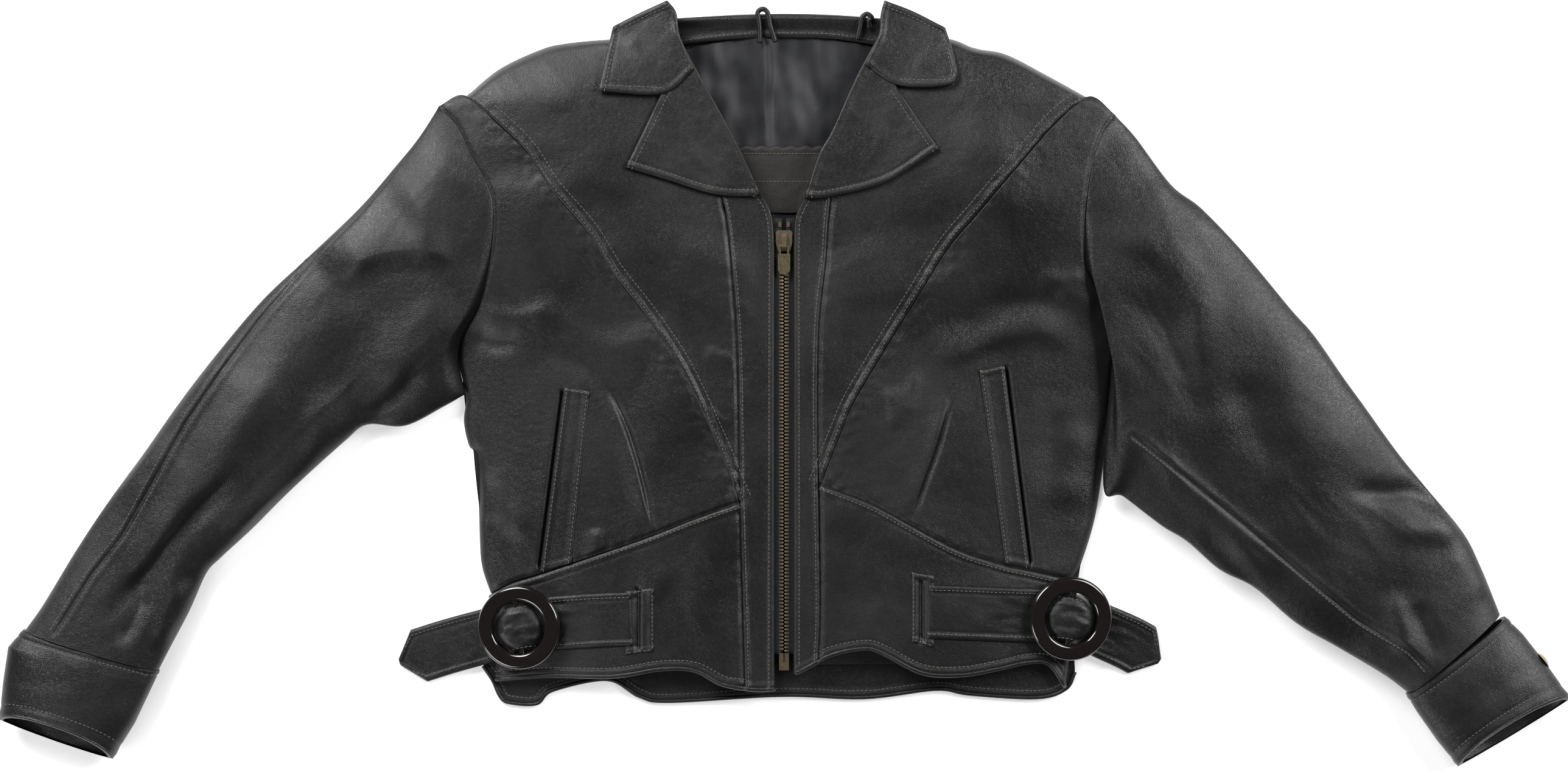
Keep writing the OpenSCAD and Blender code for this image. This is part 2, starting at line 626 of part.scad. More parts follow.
back_panel();
back_waistband();
back_lining();
inner_facing();
neck_facing();
collar_back();
hanger_loop();
chest_panel(1);  // left_chest_panel
chest_panel(-1);  // right_chest_panel
side_front(1);  // left_side_front
side_front(-1);  // right_side_front
waistband(1, hem_left);  // left_waistband
waistband(-1, hem_right);  // right_waistband
placket(1, hem_left);  // left_placket
placket(-1, hem_right);  // right_placket
front_facing(1);  // left_front_facing
front_facing(-1);  // right_front_facing
front_lining(1);  // left_front_lining
front_lining(-1);  // right_front_lining
shoulder_pad(1);  // left_shoulder_pad
shoulder_pad(-1);  // right_shoulder_pad
pocket_welt(1);  // left_pocket_welt
pocket_welt(-1);  // right_pocket_welt
pocket_bag(1);  // left_pocket_bag
pocket_bag(-1);  // right_pocket_bag
zip_tape(1);  // left_zip_tape
zip_tape(-1);  // right_zip_tape
zip_teeth(1);  // left_zip_teeth
zip_teeth(-1);  // right_zip_teeth
zip_box();
top_stop(1);  // left_top_stop
top_stop(-1);  // right_top_stop
zip_slider();
pull_tab();
belt_slot(1);  // left_belt_slot
belt_slot(-1);  // right_belt_slot
belt_strap(1);  // left_belt_strap
belt_strap(-1);  // right_belt_strap
ring_buckle(1);  // left_ring_buckle
ring_buckle(-1);  // right_ring_buckle
lapel(1);  // left_lapel
lapel(-1);  // right_lapel
collar_leaf(1);  // left_collar_leaf
collar_leaf(-1);  // right_collar_leaf
upper_sleeve(1, sleeve_left);  // left_upper_sleeve
upper_sleeve(-1, sleeve_right);  // right_upper_sleeve
under_sleeve(1, sleeve_left);  // left_under_sleeve
under_sleeve(-1, sleeve_right);  // right_under_sleeve
sleeve_lining(1, sleeve_left);  // left_sleeve_lining
sleeve_lining(-1, sleeve_right);  // right_sleeve_lining
cuff(1, cuff_left);  // left_cuff
cuff(-1, cuff_right);  // right_cuff
cuff_button(1, cuff_left);  // left_cuff_button
cuff_button(-1, cuff_right);  // right_cuff_button
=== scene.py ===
"""A cropped black leather jacket lying flat on a pale floor: the looks, built round the packed part."""

import bpy
import numpy as np
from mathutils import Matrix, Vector
from mathutils.bvhtree import BVHTree


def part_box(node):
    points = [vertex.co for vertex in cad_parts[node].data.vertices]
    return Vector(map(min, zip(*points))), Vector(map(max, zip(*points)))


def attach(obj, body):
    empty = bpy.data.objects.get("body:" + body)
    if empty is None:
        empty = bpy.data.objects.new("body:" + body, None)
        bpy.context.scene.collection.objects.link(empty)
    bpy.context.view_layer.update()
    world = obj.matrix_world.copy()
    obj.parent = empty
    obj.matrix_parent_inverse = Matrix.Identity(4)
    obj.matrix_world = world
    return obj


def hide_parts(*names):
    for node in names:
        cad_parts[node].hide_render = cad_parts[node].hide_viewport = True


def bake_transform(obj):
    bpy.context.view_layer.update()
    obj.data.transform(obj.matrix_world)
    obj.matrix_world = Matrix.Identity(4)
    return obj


bl_info = {
    "name": "Leather jacket looks",
    "version": (1, 0, 0),
    "blender": (4, 2, 0),
    "location": "3D View > Sidebar > Jacket",
    "description": "Builds the visible leather, lining, stitching and metal of a jacket round its frame",
    "category": "Object",
}

MM = 0.001
LEATHER_T = 1.1
SIDE_NAME = {1: "left", -1: "right"}
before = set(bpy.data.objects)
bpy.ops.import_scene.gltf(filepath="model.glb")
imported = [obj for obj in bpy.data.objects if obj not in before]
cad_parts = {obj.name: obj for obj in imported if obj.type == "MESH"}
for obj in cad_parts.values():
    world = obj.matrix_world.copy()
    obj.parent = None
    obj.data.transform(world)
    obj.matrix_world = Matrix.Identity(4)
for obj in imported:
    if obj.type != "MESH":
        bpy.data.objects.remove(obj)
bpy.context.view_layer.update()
SURFACES = {}
# Height of the eye above the front's middle layer, and the width it takes in, in metres
EYE_HEIGHT = 2.6
VIEW_WIDTH = 1.288
VIEW_LIFT = 0.012
# Stitches: spacing, length, lift off the face and half widths along the face and off it, in mm
STITCH_PITCH = 3.5
STITCH_LONG = 2.5
STITCH_LIFT = 0.12
STITCH_HALF_W = 0.42
STITCH_HALF_H = 0.34

# ---------------------------------------------------------------- outlines, in mm; x is away from the middle
OUTLINE = {
    -1: {
        "zip": [(7.8, -244), (7.8, -60), (7.8, 60), (7.8, 122), (11, 147), (20, 163)],
        "placket": [(32, -243), (36, -90), (38, 32), (43, 104), (47, 140), (50.5, 157)],
        "v": [(36, -90), (60, -33), (86, 21), (114.5, 63), (140, 96), (160.5, 129), (191, 165),
              (211.5, 196), (237, 221), (262, 242)],
        "waist": [(36, -92), (75.5, -106), (109, -119), (149.5, -133), (200.5, -150), (223, -157),
                  (242, -167)],
        "side": [(242, -167), (249, -145), (251, -120), (253, -58), (260, -45), (264, -25), (262, -3),
                 (268, 25), (265, 45), (251, 71),
                 (240.5, 109), (237.5, 147), (243, 170), (256, 193), (267, 216), (283, 233)],
        "armpit": -3,
        "low_side": [(238.5, -238), (243.5, -169)],
        "shoulder": [(92, 291), (147.5, 289), (180.5, 286), (201, 281), (234.5, 265), (262, 242)],
        "roll": [(20, 163), (43, 211), (68.5, 257), (87, 291)],
        "hem": [(7.8, -244), (24, -244.5), (51, -240), (73.5, -229), (100.5, -228), (140.5, -234),
                (194, -234), (238.5, -238)],
        "lapel_low": [(20, 163), (22.5, 159), (55.5, 160), (99, 173), (129.5, 182)],
        "lapel_out": [(129.5, 182), (98, 247)],
        "lapel_top": [(85, 288), (90, 270), (98, 247)],
        "leaf_low": [(73, 262), (99, 242), (151.5, 244)],
        "leaf_out": [(151.5, 244), (146, 272), (140, 298)],
        "leaf_in": [(73, 262), (85, 290), (88, 309), (95.5, 319)],
        "leaf_top": [(95.5, 319), (118, 309), (140, 298)],
        "welt": [(200.5, -149), (180.5, 3), (158.5, 0), (174, -142)],
        "slot": [(106, -161), (130.5, -164), (130.5, -217), (106, -214)],
        "strap": [(121.5, -187), (165, -189), (216.5, -194), (250, -203.5), (280, -212), (317, -224)],
        "sleeve_out": [(283, 233), (300, 207), (317, 186), (348, 150), (392, 108), (427, 75), (462, 34),
                       (493, -6), (524, -50), (556, -94),
                       (581, -132), (606, -174), (622, -197)],
        "sleeve_in": [(262, -3), (279, -13), (311, -29), (342, -28), (361, -42), (405, -82), (436, -113),
                      (462, -137), (474, -150),
                      (487, -179), (504, -212), (513, -230)],
        "cuff": [[(622, -196), (513, -229)], [(634, -210), (518, -240)], [(638, -240), (533, -272)],
                 [(641, -270), (551, -301)]],
        "sleeve_seam": [(322, 178), (352, 142), (389, 104), (427, 60), (455, 22), (487, -25), (515, -75),
                        (540, -119), (565, -151), (594, -198)],
    },
    1: {
        "zip": [(7.8, -232), (7.8, -60), (7.8, 60), (7.8, 122), (9.5, 143), (17, 158)],
        "placket": [(28, -222), (29.5, -169), (27.5, -29), (28.5, 53), (34, 104), (36, 135), (38, 156)],
        "v": [(29, -78), (48, -31), (58, -8), (83.5, 35), (109, 76), (134.5, 117), (160, 147),
              (193, 186), (224, 221), (250, 241)],
        "waist": [(29, -77), (70.5, -93), (103.5, -111), (141.5, -131), (177.5, -143), (204, -149),
                  (238, -157)],
        "side": [(238, -157), (244.5, -144), (254.5, -113), (260, -85), (268, -30), (273, 20),
                 (272.5, 45), (261, 76), (249, 101),
                 (246.5, 127), (247.5, 153), (252, 183), (260, 209), (271, 226)],
        "armpit": 30,
        "low_side": [(232.5, -246), (239, -190), (240, -157)],
        "shoulder": [(87, 292), (134.5, 290), (157.5, 282), (183, 277), (216, 260), (250, 241)],
        "roll": [(17, 158), (27.5, 191), (40, 214), (58, 254), (80, 292)],
        "hem": [(7.8, -232), (18, -227), (40, -216), (66, -211), (81, -215), (113, -231), (145, -233),
                (176.5, -228), (200.5, -223),
                (218, -225), (232.5, -246)],
        "lapel_low": [(17, 158), (19.5, 157), (37.5, 158), (83.5, 170), (127, 197)],
        "lapel_out": [(127, 197), (91, 249)],
        "lapel_top": [(76, 288), (84, 270), (91, 249)],
        "leaf_low": [(66, 266), (93.5, 249), (134.5, 249), (142, 260)],
        "leaf_out": [(142, 260), (138, 278), (132, 297)],
        "leaf_in": [(66, 266), (77, 290), (79, 308), (82, 319)],
        "leaf_top": [(82, 319), (106, 310), (132, 297)],
        "welt": [(202, -146), (181, 21), (159.5, 17), (181, -142)],
        "slot": [(104, -148), (123.5, -151), (123.5, -211), (104, -206)],
        "strap": [(114.5, -181), (165, -183), (235, -187), (264, -199), (288, -210), (309.5, -223)],
        "sleeve_out": [(271, 226), (287.5, 209), (317.5, 169), (343, 149), (379, 111), (415.5, 67),
                       (435, 45), (460, 9), (476, -13),
                       (502.5, -50), (526, -79), (556.5, -116), (571, -145), (586, -183)],
        "sleeve_in": [(270, 30), (262, -77), (278.5, -87), (310, -111), (331, -124), (357.5, -147),
                      (386.5, -162), (420.5, -191),
                      (455, -211), (492, -233), (512, -248)],
        "cuff": [[(590, -186), (511, -248)], [(604, -200), (520, -263)], [(624, -226), (536, -286)],
                 [(643, -253), (553, -307)]],
        "sleeve_seam": [(285, -37), (297, -46), (331, -74), (373, -108), (420.5, -148), (468, -187),
                        (507.5, -211), (524, -228)],
    },
}
BACK_HEM = [(-248, -227), (-240, -239), (-234, -252), (-227, -257), (-204, -258), (-191, -247),
            (-146, -238), (-119, -252), (-94, -256),
            (-2, -251), (66, -253), (125, -246), (153, -250), (208, -253), (232, -246), (240, -232)]
# height, width on the left of the line, width on its right, line
FOLDS = {
    -1: [
        (2.6, 26, 14, [(224, 84), (178, 54), (143, 33), (105, 38), (86, 4), (77, -52)]),
        (-2.4, 12, 20, [(205, 36), (172, 26), (146, 6), (126, -30), (112, -70)]),
        (2.4, 9, 1.7, [(150, 8), (135, -20), (124, -51), (115, -85), (108, -120)]),
        (-2.4, 1.9, 2.6, [(148, 6), (133, -21), (122, -52), (113, -86), (106, -120)]),
        (1.6, 7, 5, [(154, -112), (155, -126), (155.5, -137)]),
        (2.2, 18, 10, [(241, -60), (236, -90), (222, -108), (206, -128)]),
        (-2.0, 9, 14, [(246, -100), (232, -116), (214, -132)]),
        (2.0, 34, 26, [(206, 188), (206, 160), (214, 120), (222, 96)]),
        (-1.6, 24, 30, [(150, 176), (176, 120), (206, 88)]),
        (2.0, 30, 40, [(56, 132), (74, 90), (92, 60)]),
        (0.9, 8, 4, [(66, 34), (52, 28), (42, 30)]),
        (0.8, 5, 3, [(62, -12), (48, -23), (38, -22)]),
        (1.8, 14, 8, [(262, 70), (232, 58), (205, 60), (180, 76)]),
        (-2.2, 9, 9, [(262, 52), (236, 40), (212, 42)]),
        (1.4, 14, 9, [(90, -140), (110, -170), (118, -205)]),
        (1.2, 22, 10, [(150, -160), (185, -172), (225, -176)]),
        (1.3, 12, 9, [(66, -118), (72, -160), (66, -205)]),
    ],
    1: [
        (2.2, 26, 16, [(135, 222), (160, 205), (182, 170), (198, 123)]),
        (-2.8, 12, 14, [(112, 58), (138, 53), (177, 68), (208, 70), (254, 62)]),
        (2.6, 20, 9, [(110, 34), (140, 30), (163, 42), (200, 48), (246, 40)]),
        (1.8, 9, 6, [(86, 6), (90, -12), (93, -36)]),
        (1.4, 8, 6, [(108, 22), (104, 0), (98, -28)]),
        (2.2, 1.7, 10, [(137, -2), (124, -47), (112, -80), (103, -110)]),
        (-2.2, 2.6, 1.9, [(139, -1), (126, -46), (114, -79), (105, -110)]),
        (1.9, 12, 7, [(250, 98), (228, 90), (206, 98)]),
        (1.6, 9, 9, [(258, 70), (240, 74), (220, 80)]),
        (2.0, 18, 26, [(246, -20), (240, -60), (228, -100)]),
        (-1.6, 12, 12, [(226, -10), (220, -50), (212, -92)]),
        (1.8, 30, 36, [(58, 128), (72, 96), (80, 60)]),
        (-1.4, 22, 22, [(110, 150), (120, 124), (134, 92)]),
        (1.0, 14, 10, [(60, -120), (78, -160), (74, -200)]),
        (1.1, 14, 10, [(150, -150), (190, -165), (224, -170)]),
    ],
}
SLEEVE_FOLDS = {
    -1: [
        (6.5, 42, 9, [(262, 112), (290, 114), (318, 112), (346, 104), (374, 86)]),
        (4.0, 30, 26, [(262, 200), (276, 176), (296, 156), (318, 142)]),
        (6.5, 24, 20, [(392, 60), (412, 24), (434, -14), (460, -58), (490, -104), (520, -142),
                       (545, -172)]),
        (-7.0, 7, 12, [(438, -60), (466, -86), (492, -116), (522, -152), (556, -194)]),
        (3.0, 26, 26, [(262, 78), (284, 50), (306, 26), (330, -2)]),
        (-3.5, 22, 16, [(336, 56), (366, 10), (396, -38), (430, -92)]),
        (5.5, 18, 16, [(352, 10), (384, -36), (414, -80), (444, -112), (470, -140)]),
        (3.0, 14, 14, [(440, 52), (474, 10), (506, -38), (536, -86), (562, -124)]),
        (3.0, 9, 9, [(486, -150), (500, -180), (514, -212)]),
        (-2.5, 6, 7, [(516, -160), (530, -184), (544, -208)]),
        (-3.5, 7, 8, [(292, 20), (318, -6), (350, -22)]),
    ],
    1: [
        (3.6, 24, 13, [(258, 132), (288, 122), (314, 106), (334, 78), (342, 40), (350, 4)]),
        (-2.6, 13, 16, [(262, 74), (292, 62), (314, 44), (330, 10), (346, -36)]),
        (3.4, 32, 30, [(352, 110), (380, 68), (404, 18), (430, -36), (460, -84)]),
        (-3.2, 9, 7, [(458, -78), (486, -86), (514, -84), (548, -98)]),
        (3.2, 12, 12, [(488, -118), (516, -112), (540, -114), (560, -130)]),
        (2.6, 13, 11, [(282, -28), (312, -62), (344, -98), (378, -132), (410, -162)]),
        (-2.0, 8, 8, [(330, -112), (362, -136), (396, -166)]),
        (-2.2, 16, 16, [(360, 20), (384, -24), (410, -70)]),
        (2.8, 10, 10, [(490, -160), (502, -190), (514, -222)]),
        (-2.4, 8, 8, [(512, -170), (524, -196), (536, -222)]),
        (2.2, 18, 14, [(540, -126), (560, -150), (576, -176)]),
        (2.0, 22, 22, [(292, 176), (318, 146), (346, 112)]),
    ],
}
CROWN_REACH = [(-262, 243), (-150, 250), (-60, 261), (0, 272), (50, 300), (100, 340), (200, 335),
               (235, 300), (265, 250), (290, 190), (320, 170)]


# ---------------------------------------------------------------- numbers and lines
def ease(a, b, v):
    """Smooth step of v from a to b."""
    t = np.clip((v - a) / (b - a), 0, 1)
    return t * t * (3 - 2 * t)


def bell(d, width):
    """A Gaussian bump: 1 at d = 0, and 1 / e at one width away."""
    return np.exp(-((d / width) ** 2))


def mix(a, b, t):
    """From a to b as t goes from 0 to 1."""
    return a + (b - a) * t


def smooth_line(points, per=8):
    """Catmull-Rom line through points: a cubic's end slopes are half the chord of the neighbours."""
    p = np.array(points, float)
    if len(p) < 3:
        return p
    q = np.vstack([2 * p[0] - p[1], p, 2 * p[-1] - p[-2]])
    t = np.linspace(0, 1, per, endpoint=False)[:, None]
    spans = [
        0.5 * (2 * b + (c - a) * t + (2 * a - 5 * b + 4 * c - d) * t**2 + (3 * b - a - 3 * c + d) * t**3)
        for a, b, c, d in zip(q, q[1:], q[2:], q[3:])
    ]
    return np.vstack([*spans, p[-1:]])


def length_of(line):
    """Length of a line of points."""
    return float(np.linalg.norm(np.diff(line, axis=0), axis=1).sum())


def at_shares(line, shares):
    """Points on a line at shares of its length."""
    step = np.r_[0, np.cumsum(np.linalg.norm(np.diff(line, axis=0), axis=1))]
    want = np.asarray(shares) * step[-1]
    return np.stack([np.interp(want, step, line[:, k]) for k in range(line.shape[1])], -1)


def beside(line, distance):
    """A line moved to its left by a distance, square to its direction."""
    line = np.asarray(line, float)
    way = np.gradient(line, axis=0)
    way /= np.linalg.norm(way, axis=1)[:, None] + 1e-9
    return line + np.stack([-way[:, 1], way[:, 0]], -1) * distance


def near_line(x, y, line):
    """Distance from each point to a line, share along it, and side: +1 is left of the way it runs."""
    line = np.asarray(line, float)
    best, share, side = np.full(x.shape, 1e9), np.zeros(x.shape), np.ones(x.shape)
    steps = np.linalg.norm(np.diff(line, axis=0), axis=1)
    start = np.r_[0, np.cumsum(steps)]
    for (ax, ay), (bx, by), s0, s in zip(line, line[1:], start, steps):
        dx, dy = bx - ax, by - ay
        u = np.clip(((x - ax) * dx + (y - ay) * dy) / max(s * s, 1e-9), 0, 1)
        px, py = x - ax - u * dx, y - ay - u * dy
        d = np.hypot(px, py)
        nearer = d < best
        best = np.where(nearer, d, best)
        share = np.where(nearer, (s0 + u * s) / start[-1], share)
        side = np.where(nearer, np.where(dx * py - dy * px >= 0, 1.0, -1.0), side)
    return best, share, side


def noise(x, y, size, seed):
    """Gradient noise: seeded directions at square corners, blended with the fifth-power step."""
    turn = np.random.default_rng(seed).random((64, 64)) * 2 * np.pi
    u, v = x / size, y / size
    i, j = np.floor(u).astype(int), np.floor(v).astype(int)
    fu, fv = u - i, v - j
    su, sv = (f**3 * (f * (f * 6 - 15) + 10) for f in (fu, fv))

    def corner(a, b):
        t = turn[(i + a) & 63, (j + b) & 63]
        return np.cos(t) * (fu - a) + np.sin(t) * (fv - b)

    return mix(mix(corner(0, 0), corner(1, 0), su), mix(corner(0, 1), corner(1, 1), su), sv) * 1.5


def folds_at(x, y, folds, strength):
    """Height of all folds.

    Each is a bell across its line, with its own width on either side, dying out towards both ends.
    """
    wx = x + 3 * noise(x, y, 46, 5)
    wy = y + 3 * noise(x, y, 46, 6)
    total = np.zeros(x.shape)
    for height, left, right, points in folds:
        sharp = min(left, right) < 3
        d, t, side = near_line(x if sharp else wx, y if sharp else wy, smooth_line(points, 4))
        width = np.where(side > 0, left, right)
        total += height * bell(d, width) * ease(0, 0.3, t) * (1 - ease(0.7, 1, t))
    return total * strength


def crumple(x, y, angle, long, across, height, seed):
    """Fine wrinkles along an angle: folded noise, stretched along it."""
    a = np.radians(angle)
    u = (x * np.cos(a) + y * np.sin(a)) / long
    v = (-x * np.sin(a) + y * np.cos(a)) / across
    v = v + 0.6 * noise(x, y, 60, seed + 1)
    n = noise(u, v, 1, seed)
    return height * (1 - 2 * np.abs(n)) * ease(-0.3, 0.4, noise(x, y, 70, seed + 2))


def front_z(x, y):
    """The lying front's height: a crown falling towards the side edges, with a rise at the shoulder pads."""
    reach = np.interp(y, *np.array(CROWN_REACH, float).T)
    fall = np.maximum(0, 1 - np.minimum(1, np.abs(x) / reach) ** 3) ** 0.8
    rise = 9 * ease(60, 180, np.abs(x)) * ease(40, 170, y) * (1 - ease(235, 300, y))
    return 6 + 16 * fall + rise


def relief(x, y, side, strength):
    """Folds and unevenness of one front, held down beside the zip, under the lapel and under the ring."""
    o = OUTLINE[side]
    bumps = folds_at(x, y, FOLDS[side], strength)
    bumps += (1.5 * noise(x, y, 70, 11 + side) + 0.35 * noise(x, y, 27, 13 + side)
              + 0.08 * noise(x, y, 10, 17 + side))
    bumps += crumple(x, y, 62, 70, 15, 0.16, 21 + side)
    for line, reach, size in (("v", 12, 0.5), ("waist", 9, 0.4), ("placket", 8, 0.35)):
        d, _, _ = near_line(x, y, o[line])
        bumps += size * bell(d, reach) * noise(x, y, 7.5, 23 + side)
    calm = ease(14, 34, x)
    under_lapel, _, _ = near_line(x, y, o["roll"])
    calm = calm * (0.25 + 0.75 * ease(20, 62, under_lapel))
    ring = np.hypot(x - o["strap"][2][0], y - o["strap"][2][1])
    end = o["strap"][0]
    slit, _, _ = near_line(x, y, [(end[0] - 1.6, end[1] - 24), (end[0] - 1.6, end[1] + 24)])
    return bumps * calm * (0.2 + 0.8 * ease(30, 52, ring)) - 4.2 * bell(slit, 1.5)


# ---------------------------------------------------------------- meshes
def add_mesh(name, points, faces, material, wear_and_highlight=None):
    """A new smooth-shaded object from mm points and faces, sitting at the origin."""
    mesh = bpy.data.meshes.new(name)
    mesh.from_pydata((np.asarray(points, float) * MM).tolist(), [],
                     faces.tolist() if hasattr(faces, "tolist") else faces)
    mesh.polygons.foreach_set("use_smooth", np.ones(len(mesh.polygons), bool))
    # The extra point attribute is the lighter-tone mask: rub wear and painted highlight.
    if wear_and_highlight is not None:
        mesh.attributes.new("wear_and_highlight", "FLOAT",
                            "POINT").data.foreach_set("value", np.asarray(wear_and_highlight, np.float32))
    mesh.materials.append(bpy.data.materials[material])
    mesh.update()
    obj = bpy.data.objects.new(name, mesh)
    bpy.context.scene.collection.objects.link(obj)
    return obj


def quads(rows, cols, first=0, flip=False, closed=False):
    """Faces of a grid of points, row after row; closed joins the last column to the first."""
    r = np.arange(rows - 1)[:, None]
    c = np.arange(cols if closed else cols - 1)[None, :]
    n = (c + 1) % cols
    f = np.stack([r * cols + c, r * cols + n, (r + 1) * cols + n, (r + 1) * cols + c],
                 -1).reshape(-1, 4) + first
    return f[:, ::-1] if flip else f


def shell(top, low, flip):
    """Points and faces of a closed sheet between two grids."""
    rows, cols = top.shape[:2]
    n = rows * cols
    ids = np.arange(n).reshape(rows, cols)
    rim = np.r_[ids[0, :], ids[1:, -1], ids[-1, -2::-1], ids[-2:0:-1, 0]]
    nxt = np.roll(rim, -1)
    side = np.stack([nxt, rim, rim + n, nxt + n], -1)
    faces = np.vstack([quads(rows, cols, flip=flip), quads(rows, cols, n, flip=not flip),
                       side[:, ::-1] if flip else side])
    return np.vstack([top.reshape(-1, 3), low.reshape(-1, 3)]), faces


def steps(length, pitch):
    """Shares of a length, close together near both ends and at a pitch between."""
    ends = np.array([0, 0.5, 1.2, 2.2, 3.6])
    if length < 18:
        return np.linspace(0, 1, 7)
    inner = np.linspace(5.4, length - 5.4, max(2, int((length - 10.8) / pitch)))
    return np.r_[ends, inner, length - ends[::-1]] / length


def coons(bottom, top, left, right, pitch):
    """Plan points of a patch inside four lines, and each point's distance to each edge.

    The two ruled surfaces are added, less the bilinear one.
    """
    b, t, lft, r = (smooth_line(c) for c in (bottom, top, left, right))
    u = steps(max(length_of(b), length_of(t)), pitch)
    v = steps(max(length_of(lft), length_of(r)), pitch)
    b, t, lft, r = at_shares(b, u), at_shares(t, u), at_shares(lft, v), at_shares(r, v)
    uu, vv = u[None, :, None], v[:, None, None]
    plan = (1 - vv) * b[None] + vv * t[None] + (1 - uu) * lft[:, None] + uu * r[:, None]
    plan -= (1 - uu) * (1 - vv) * b[0] + uu * (1 - vv) * b[-1] + (1 - uu) * vv * t[0] + uu * vv * t[-1]
    across = np.linalg.norm(np.diff(plan, axis=1), axis=2).sum(1)[:, None]
    along = np.linalg.norm(np.diff(plan, axis=0), axis=2).sum(0)[None, :]
    edges = {"left": u[None, :] * across, "right": (1 - u[None, :]) * across,
             "bottom": v[:, None] * along, "top": (1 - v[:, None]) * along}
    return plan, edges


def edge_drop(d, kind, z):
    """How far a sheet's face drops at distance d from an edge.

    It goes over to the floor, round a turned edge with its seam ridge, or under a neighbour.
    """
    if kind == "wrap":
        return (z - 1.6) * (1 - np.sqrt(1 - (1 - np.minimum(d / 8, 1)) ** 2))
    if kind == "turned":
        round_off = 1.2 * (1 - np.sqrt(1 - (1 - np.minimum(d / 1.6, 1)) ** 2))
        return round_off - 0.55 * bell(d - 3.2, 1.8) + 0.3 * bell(d - 6.6, 1.0)
    if kind == "under":
        return 1.25 * (1 - ease(0.5, 4.5, d))
    return 0 * d


def panel(name, side, lines, kinds, height, lift, pitch, material="leather", thick=LEATHER_T,
          switch=None):
    """A leather panel between four lines, at the height of its plan place, each edge shaped by its kind."""
    plan, edges = coons(*lines, pitch)
    x, y = plan[..., 0], plan[..., 1]
    z = height(x, y) + lift
    flat_z = z.copy()
    for k, kind in kinds.items():
        if switch and k == switch[0]:
            low = 1 - ease(switch[2] - 12, switch[2] + 12, y)
            z = z - low * edge_drop(edges[k], switch[1], flat_z) - (1 - low) * edge_drop(edges[k], kind,
                                                                                         flat_z)
        else:
            z = z - edge_drop(edges[k], kind, flat_z)
    top = np.stack([x * side, y, z], -1)
    low = top - [0, 0, thick]
    points, faces = shell(top, low, flip=side < 0)
    # The lighter-tone mask: convex ridges painted lighter (rub wear and painted highlight), plus a lighter
    # band along turned edges (edge wear and painted highlight).
    bend = np.gradient(np.gradient(z, axis=0), axis=0) + np.gradient(np.gradient(z, axis=1), axis=1)
    wear_and_highlight = np.clip(-bend * 1.6, -1, 1).ravel()
    turned_edges = [edges[k] for k, kind in kinds.items() if kind == "turned"] or [np.full(x.shape, 9.0)]
    near_edge = np.min(turned_edges, axis=0).ravel()
    wear_and_highlight = np.clip(wear_and_highlight + 0.5 * bell(near_edge, 1.3), 0, 1)
    obj = add_mesh(name, points, faces, material, np.r_[wear_and_highlight, wear_and_highlight])
    surface(name, top)
    area = polygon_area(np.vstack([plan[0], plan[1:, -1], plan[-1, -2::-1], plan[-2:0:-1, 0]]))
    return obj, area


def polygon_area(p):
    """Area in square mm inside a closed line."""
    x, y = p[:, 0], p[:, 1]
    return abs(float(np.sum(x * np.roll(y, -1) - y * np.roll(x, -1)))) / 2


def surface(name, top):
    """Keeps a top face, so that stitches can be set down on it."""
    rows, cols = top.shape[:2]
    SURFACES[name] = BVHTree.FromPolygons(top.reshape(-1, 3).tolist(), quads(rows, cols).tolist())


def drop(names, points):
    """Where each plan point meets the highest of the named faces, with the face's direction; nan if none."""
    found = []
    for x, y in points:
        best = None
        for n in names:
            hit, normal, _, _ = SURFACES[n].ray_cast(Vector((x, y, 200)), Vector((0, 0, -1)))
            if hit is not None and (best is None or hit.z > best[0].z):
                best = (hit, normal if normal.z > 0 else -normal)
        found.append([*best[0], *best[1]] if best else [np.nan] * 6)
    found = np.array(found, float).reshape(-1, 6)
    return found[:, :3], found[:, 3:]


def stitch_row(names, line, side=1, pitch=STITCH_PITCH):
    """Stitches' places and directions along a plan line, set down on faces."""
    line = np.asarray(line, float) * [side, 1]
    count = max(2, int(length_of(line) / pitch))
    p = at_shares(line, (np.arange(count) + 0.5) / count)
    spots, up = drop(names, p)
    way = np.gradient(spots, axis=0)
    good = np.isfinite(spots).all(1) & np.isfinite(way).all(1)
    spots, up, way = spots[good], up[good], way[good]
    if not len(spots):
        return np.zeros((0, 4, 3))
    way /= np.linalg.norm(way, axis=1)[:, None] + 1e-9
    keep = up[:, 2] > 0.25
    across = np.cross(up, way)
    spots = spots + up * STITCH_LIFT
    return np.stack([spots, way * STITCH_LONG / 2, across * STITCH_HALF_W, up * STITCH_HALF_H], 1)[keep]


def stitches(name, rows, body, material="thread"):
    """One object of all stitches: a low six-sided bead repeated at each place."""
    rows = np.concatenate([r for r in rows if len(r)])
    a = np.linspace(0, 2 * np.pi, 6, endpoint=False)
    profile = ((-1, 0.25), (-0.7, 0.9), (0.7, 0.9), (1, 0.25))
    ring = np.array([[s, np.cos(t) * w, np.sin(t) * w] for s, w in profile for t in a])
    points = rows[:, None, 0] + sum(ring[None, :, k:k + 1] * rows[:, None, k + 1] for k in range(3))
    one = [list(f) for f in quads(4, 6, closed=True)]
    faces = (np.array(one)[None] + np.arange(len(rows))[:, None, None] * 24).reshape(-1, 4).tolist()
    caps = np.arange(len(rows))[:, None] * 24
    faces += (caps + np.arange(5, -1, -1)).tolist() + (caps + np.arange(18, 24)).tolist()
    mesh = bpy.data.meshes.new(name)
    mesh.from_pydata((points.reshape(-1, 3) * MM).tolist(), [], faces)
    mesh.polygons.foreach_set("use_smooth", np.ones(len(mesh.polygons), bool))
    mesh.materials.append(bpy.data.materials[material])
    obj = bpy.data.objects.new(name, mesh)
    bpy.context.scene.collection.objects.link(obj)
    if body:
        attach(obj, body)
    return obj


